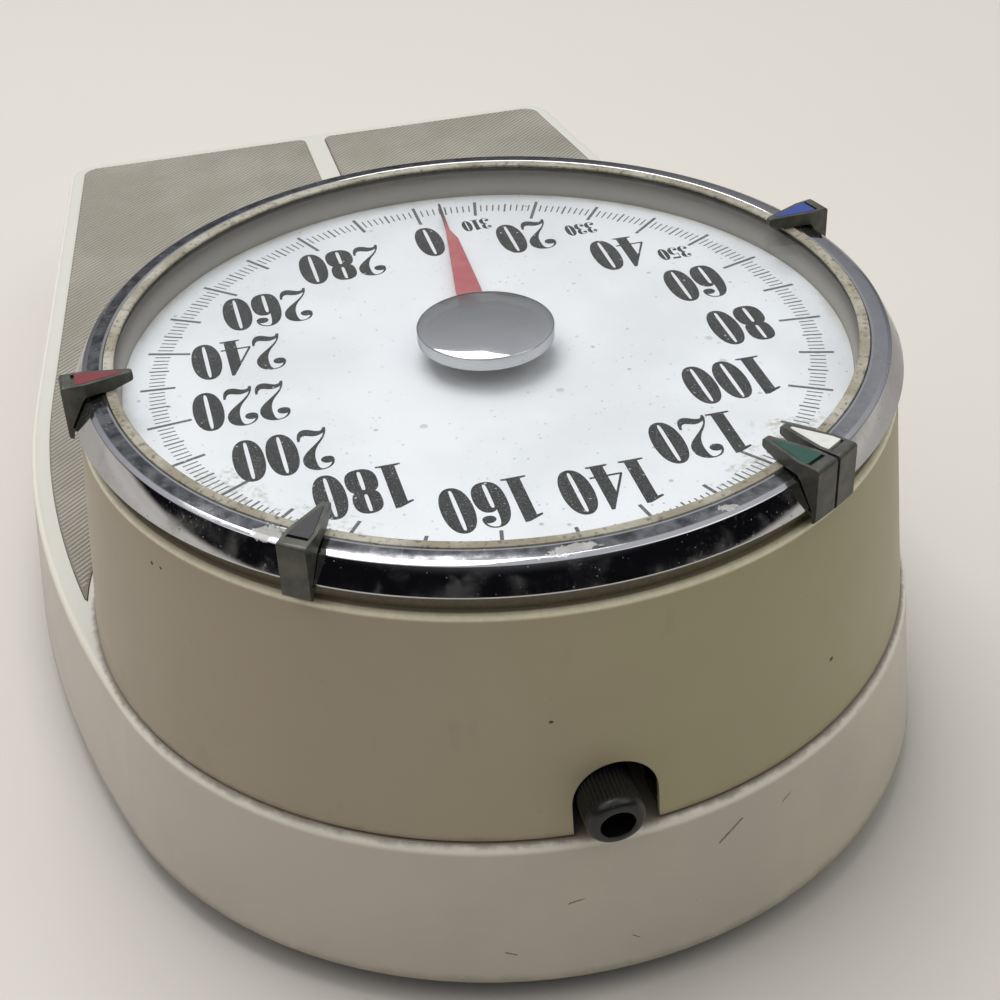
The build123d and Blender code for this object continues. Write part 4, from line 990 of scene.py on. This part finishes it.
numerals = {
    "0": [oval(19, 50, 19, 51, 0.62), oval(19, 50, 2.5, 45, 0.9)],
    "1": [[(0, 0), (30, 0), (30, 3), (23.5, 4.5), (23.5, 100), (18, 100), (0.5, 90), (0.5, 86.5),
           (7.5, 88.5), (7.5, 4.5), (0, 3)]],
    "2": [[(1, 79), (1, 92, 8, 101, 19, 101), (30, 101, 38, 92, 38, 77), (38, 60, 26, 50, 14, 33),
           (9, 26, 5.5, 20, 4.5, 13), (12, 20, 18, 19, 24, 15), (29, 12, 33.5, 14, 34.5, 26), (37.5, 26),
           (37.5, 8, 33, -1, 26, -1), (19, -1, 15, 7, 9, 7), (5, 7, 4, 3, 3.5, 0), (0, 0),
           (0, 14, 6, 27, 14, 40), (20, 52, 22.5, 62, 22.5, 77), (22.5, 90, 21, 98.5, 17, 98.5),
           (11, 98.5, 6.5, 93, 5, 86), (6.2, 87, 7.5, 87.3, 9, 87.3), (13.5, 87.3, 17, 83.5, 17, 79),
           (17, 74.5, 13.5, 71, 9, 71), (4.5, 71, 1, 74.5, 1, 79)]],
    "3": [[(1, 80), (1, 93, 8, 101, 18, 101), (30, 101, 36, 92, 36, 76), (36, 62, 31, 54, 24, 52),
           (33, 50, 38, 42, 38, 27), (38, 9, 30, -1, 18, -1), (7, -1, 0, 7, 0, 20), *lowerBall,
           (21.5, 1.5, 22.5, 10, 22.5, 27), (22.5, 43, 21, 50.5, 13, 50.5), (13, 53),
           (20, 53, 21.5, 61, 21.5, 76), (21.5, 92, 21, 98.5, 16.5, 98.5), (11, 98.5, 6, 94, 4.5, 87),
           (6, 88, 7.5, 88, 9, 88), (13, 88, 16.5, 84.5, 16.5, 80), (16.5, 75.5, 13, 72, 8.7, 72),
           (4.5, 72, 1, 75.5, 1, 80)]],
    "4": [[(12, 0), (38, 0), (38, 3), (33, 4.5), (33, 24), (39, 24), (39, 27.5), (33, 27.5), (33, 100),
           (29, 100), (0, 27.5), (0, 24), (17.5, 24), (17.5, 4.5), (12, 3)],
          [(3.2, 27.5), (17.5, 27.5), (17.5, 63.5)]],
    "5": [[(4, 52), (4, 100), (34, 100), (34, 86), (7, 86), (7, 57), (11, 62, 15, 64, 19, 64),
           (32, 64, 38, 52, 38, 32), (38, 10, 30, -1, 18, -1), (7, -1, 0, 7, 0, 20), *lowerBall,
           (21.5, 1.5, 22.5, 13, 22.5, 33), (22.5, 52, 21, 60, 17, 60), (12, 60, 8, 56, 6.5, 52)]],
    "6": [[(0, 45), (0, 80, 8, 101, 22, 101), (31, 101, 37, 93, 37, 81), (37, 76.5, 33.5, 73, 29, 73),
           (24.5, 73, 21, 76.5, 21, 81), (21, 85.5, 24.5, 89, 29, 89), (31, 89, 32.5, 88.5, 33.5, 87.5),
           (32, 94, 28, 98.5, 22, 98.5), (17.5, 98.5, 16, 85, 16, 62), (18, 66, 20.5, 67, 23.5, 67),
           (33, 67, 38, 55, 38, 34), (38, 12, 32, -1, 19, -1), (5, -1, 0, 14, 0, 45)],
          oval(19, 31, 2.5, 27, 0.9)],
    "8": [[(31, 52.5), (35, 56, 36, 64, 36, 75), (36, 92, 30, 101, 19, 101), (8, 101, 2, 92, 2, 75),
           (2, 64, 3, 56, 7, 52.5), (2, 48, 0, 40, 0, 27), (0, 9, 6, -1, 19, -1), (32, -1, 38, 9, 38, 27),
           (38, 40, 36, 48, 31, 52.5)], oval(19, 77, 2.3, 19.5, 0.9), oval(19, 26, 2.5, 21.5, 0.9)],
}
numeralWidths = {"1": 30, "4": 39}

dialMarks = {
    "unit": 92.0,
    "pounds": 300,
    "largeEvery": 20,
    "smallNumbers": (310, 330, 350),
    "degreesPerPound": 1.2,
    "largeHeight": 18.6,
    "largeReach": 68.5,
    "smallHeight": 6.8,
    "smallReach": 76.5,
    "largeStretch": 1.12,
    "smallStretch": 1.15,
    "letterGap": 2.0,
    "nudges": {
        40: (0.6, -2.5), 60: (0.7, -2.1), 80: (1.1, 0.0), 100: (-3.1, 1.2), 120: (-0.9, -0.6),
        140: (-2.2, -2.4), 160: (-2.8, -1.0), 180: (-4.5, 2.0), 200: (-1.0, 2.5), 220: (1.0, 1.2),
        240: (0.8, -1.9), 260: (-2.0, -3.0),
    },
    "inkHeight": 0.04,
    "rows": (  # every so many pounds, the outer and inner ends in units, and the width
        (20, 1.000, 0.875, 0.95),
        (10, 1.000, 0.900, 0.95),
        (5, 0.980, 0.923, 0.55),
        (1, 0.975, 0.930, 0.40),
    ),
}


def addOutline(curve, outline, spot):  # spot turns two values of an outline into a place
    knots = [spot(*outline[0])]
    handles = [[knots[0], knots[0]]]
    for part in outline[1:]:
        knots.append(spot(*part[-2:]))
        handles.append([knots[-1], knots[-1]])
        if len(part) == 6:
            handles[-2][1] = spot(*part[:2])
            handles[-1][0] = spot(*part[2:4])
    if (knots[0] - knots[-1]).length < 1e-7:  # the outline ends where it started
        handles[0][0] = handles[-1][0]
        knots.pop()
    spline = curve.splines.new("BEZIER")
    spline.bezier_points.add(len(knots) - 1)
    spline.use_cyclic_u = True
    for point, knot, (before, after) in zip(spline.bezier_points, knots, handles):
        point.handle_left_type = "FREE"
        point.handle_right_type = "FREE"
        point.co = knot
        point.handle_left = before
        point.handle_right = after


def addNumber(curve, text, centre, height, stretch):
    scale = height / 100
    gap = dialMarks["letterGap"]
    widths = [numeralWidths.get(letter, 38) for letter in text]
    left = -(sum(widths) + gap * (len(text) - 1)) / 2

    def spot(x, y):  # upright for a reader at the far side
        away = Vector(((left + x) * stretch, y - 50)) * -scale
        return inRoom((centre.x + away.x, centre.y + away.y, 0))

    for letter, width in zip(text, widths):
        for outline in numerals[letter]:
            addOutline(curve, outline, spot)
        left += width + gap


def makeNumerals():
    curve = bpy.data.curves.new("numerals", "CURVE")
    curve.dimensions = "2D"
    curve.fill_mode = "BOTH"
    curve.resolution_u = 10
    curve.extrude = dialMarks["inkHeight"] * mm / 2
    for number in range(0, dialMarks["pounds"], dialMarks["largeEvery"]):
        centre = clockwise(number * dialMarks["degreesPerPound"]) * dialMarks["largeReach"]
        centre += Vector(dialMarks["nudges"].get(number, (0, 0)))
        addNumber(curve, str(number), centre, dialMarks["largeHeight"], dialMarks["largeStretch"])
    for number in dialMarks["smallNumbers"]:
        past = number - dialMarks["pounds"]
        centre = clockwise(past * dialMarks["degreesPerPound"]) * dialMarks["smallReach"]
        addNumber(curve, str(number), centre, dialMarks["smallHeight"], dialMarks["smallStretch"])
    holder = bpy.data.objects.new("numerals", curve)
    scene.collection.objects.link(holder)
    depsgraph = bpy.context.evaluated_depsgraph_get()
    mesh = bpy.data.meshes.new_from_object(holder.evaluated_get(depsgraph))
    mesh.transform(Matrix.Translation((0, 0, (dialTop + dialMarks["inkHeight"] / 2) * mm)))
    bpy.data.objects.remove(holder)
    piece = placeMesh("dial_numerals", mesh, "base", "inlay_black", "dial_ink")
    print("numerals:", len(piece.data.polygons), "faces")


def makeGraduations():
    points = []
    faces = []
    for pound in range(dialMarks["pounds"]):
        row = next(row for row in dialMarks["rows"] if pound % row[0] == 0)
        outer, inner, width = row[1] * dialMarks["unit"], row[2] * dialMarks["unit"], row[3]
        direction = clockwise(pound * dialMarks["degreesPerPound"])
        sideways = Vector((direction.y, -direction.x)) * width / 2
        first = len(points)
        for height in (dialTop, dialTop + dialMarks["inkHeight"]):
            for reach, turn in ((inner, -1), (outer, -1), (outer, 1), (inner, 1)):
                place = direction * reach + sideways * turn
                points.append((place.x, place.y, height))
        faces += [tuple(range(first, first + 4)), tuple(range(first + 4, first + 8))]
        faces += walls(first, first + 4, 4)
    makePiece("dial_graduations", points, faces, "base", "inlay_black", "dial_lines", weld=False)


makeNumerals()
makeGraduations()

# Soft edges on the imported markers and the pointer
edges = {"marker": 0.28, "inlay": 0.12, "pointer": 0.12, "joined": 0.002, "steps": 3, "angle": 38.0}
for name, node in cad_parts.items():
    if name.startswith("marker_") or name == "pointer":
        weld = node.modifiers.new("joined", "WELD")
        weld.merge_threshold = edges["joined"] * mm
        bevel = node.modifiers.new("soft_edges", "BEVEL")
        kind = "inlay" if name.endswith("_inlay") else "pointer" if name == "pointer" else "marker"
        bevel.width = edges[kind] * mm
        bevel.segments = edges["steps"]
        bevel.limit_method = "ANGLE"
        bevel.angle_limit = math.radians(edges["angle"])
        bevel.harden_normals = True
print("edges softened")

backdrop = seenColour(222, 218, 210)

floorPlane = {
    "size": 9.0,
    "colour": seenColour(212, 207, 198),
    "shade": seenColour(200, 195, 185),
    "black": (0, 0, 0, 1),
    "backdropFrom": (500, 1800),
}


def makeFloor():
    half = floorPlane["size"] / 2
    mesh = bpy.data.meshes.new("floor")
    corners = [(-half, -half, 0), (half, -half, 0), (half, half, 0), (-half, half, 0)]
    mesh.from_pydata(corners, [], [(0, 1, 2, 3)])
    paint = Paint("floor", floorPlane)
    paint.coat(paint.cloud(300, 3) * 0.3, "shade")
    ray = paint.node("LightPath", out="Is Camera Ray")
    seen = ray | ray.also("Is Transmission Ray") | ray.also("Is Glossy Ray")
    far = paint.fromAxis().ease(*floorPlane["backdropFrom"]) * seen
    paint.coat(far, "black")
    glow = paint.blend(far, floorPlane["black"], backdrop)
    mesh.materials.append(paint.surface(0.7, extra={"Emission Color": glow, "Emission Strength": 1}))
    floor = bpy.data.objects.new("floor", mesh)
    scene.collection.objects.link(floor)


# Limits are shares of a direction of length 1
sky = {
    "top": (0.86, 0.88, 0.92, 1),
    "far": (0.34, 0.345, 0.36, 1),
    "near": (0.008, 0.008, 0.01, 1),
    "streak": (0.11, 0.105, 0.1, 1),
    "strength": 0.75,
    "topFrom": (0.1, 0.8),
    "nearTowards": (-0.3, -0.93),
    "nearFrom": (-0.5, -0.1),
    "nearUpTo": (0.35, 0.7),
    "streakStretch": (9, 9, 1.6),
    "streakFrom": (0.56, 0.68),
    "backdropUpTo": (0.02, 0.08),
}


def makeSky():  # a room, dark towards the viewer, and a pale backdrop behind what is seen
    world = bpy.data.worlds.new("studio")
    scene.world = world
    world.use_nodes = True
    paint = Paint("sky", sky, world.node_tree)
    direction = paint.node("TexCoord", out="Generated")
    across = paint.node("SeparateXYZ", None, {0: direction})
    height = across.also("Z")
    right, back = sky["nearTowards"]
    nearness = (across * right + across.also("Y") * back).ease(*sky["nearFrom"])
    nearness = nearness * height.fade(*sky["nearUpTo"])
    stretched = paint.vector("MULTIPLY", direction, sky["streakStretch"])
    streaks = paint.node("TexNoise", None, {"Vector": stretched, "Scale": 1, "Detail": 4})
    near = paint.blend(streaks.ease(*sky["streakFrom"]), sky["near"], sky["streak"])
    far = paint.blend(height.ease(*sky["topFrom"]), sky["far"], sky["top"])
    colour = paint.blend(nearness, far, near)
    room = paint.node("Background", None, {"Color": colour, "Strength": sky["strength"]})
    behind = paint.node("Background", None, {"Color": backdrop, "Strength": 1})
    ray = paint.node("LightPath", out="Is Camera Ray")
    mirrored = ray.also("Is Glossy Ray") * height.fade(*sky["backdropUpTo"])
    seen = ray | ray.also("Is Transmission Ray") | mirrored
    both = paint.node("MixShader", None, {0: seen, 1: room, 2: behind})
    paint.node("OutputWorld", None, {"Surface": both})


# Place, size in metres, power and colour
lamps = {
    "key": ((-150, 570, 1620), 1.1, 18.0, (1.0, 1.0, 1.0)),
    "fill": ((-1000, -300, 1500), 1.2, 3.4, (1.0, 0.91, 0.87)),
    "side": ((1100, -700, 1500), 1.2, 4.0, (1.0, 0.97, 0.84)),
}


def makeLamps():
    for name, (place, size, power, colour) in lamps.items():
        lamp = bpy.data.lights.new(name, "AREA")
        lamp.shape = "SQUARE"
        lamp.size = size
        lamp.energy = power
        lamp.color = colour
        light = bpy.data.objects.new(name, lamp)
        light.location = inRoom(place)
        aim = inRoom((0, 0, dialTop)) - light.location
        light.rotation_euler = aim.to_track_quat("-Z", "Y").to_euler()
        scene.collection.objects.link(light)


view = {
    "place": (-92.54, -401.57, 242.78 + dialTop),
    "right": (0.96641, -0.25424, -0.03756),
    "up": (0.17653, 0.55047, 0.81598),
    "ahead": (0.18678, 0.79520, -0.57686),
    "focalPixels": 1780.7,
    "framePixels": 1000,
    "sensor": 36,
}


def makeCamera():
    data = bpy.data.cameras.new("camera")
    data.sensor_fit = "HORIZONTAL"
    data.sensor_width = view["sensor"]
    data.lens = view["focalPixels"] / view["framePixels"] * view["sensor"]
    data.clip_start = 0.01
    data.clip_end = 50
    data.dof.use_dof = False
    camera = bpy.data.objects.new("camera", data)
    turn = Matrix((view["right"], view["up"], -Vector(view["ahead"]))).transposed()
    camera.matrix_world = Matrix.Translation(inRoom(view["place"])) @ turn.to_4x4()
    scene.collection.objects.link(camera)
    scene.camera = camera


makeFloor()
makeSky()
makeLamps()
makeCamera()
scene.view_settings.view_transform = "Standard"
print("studio and camera made")
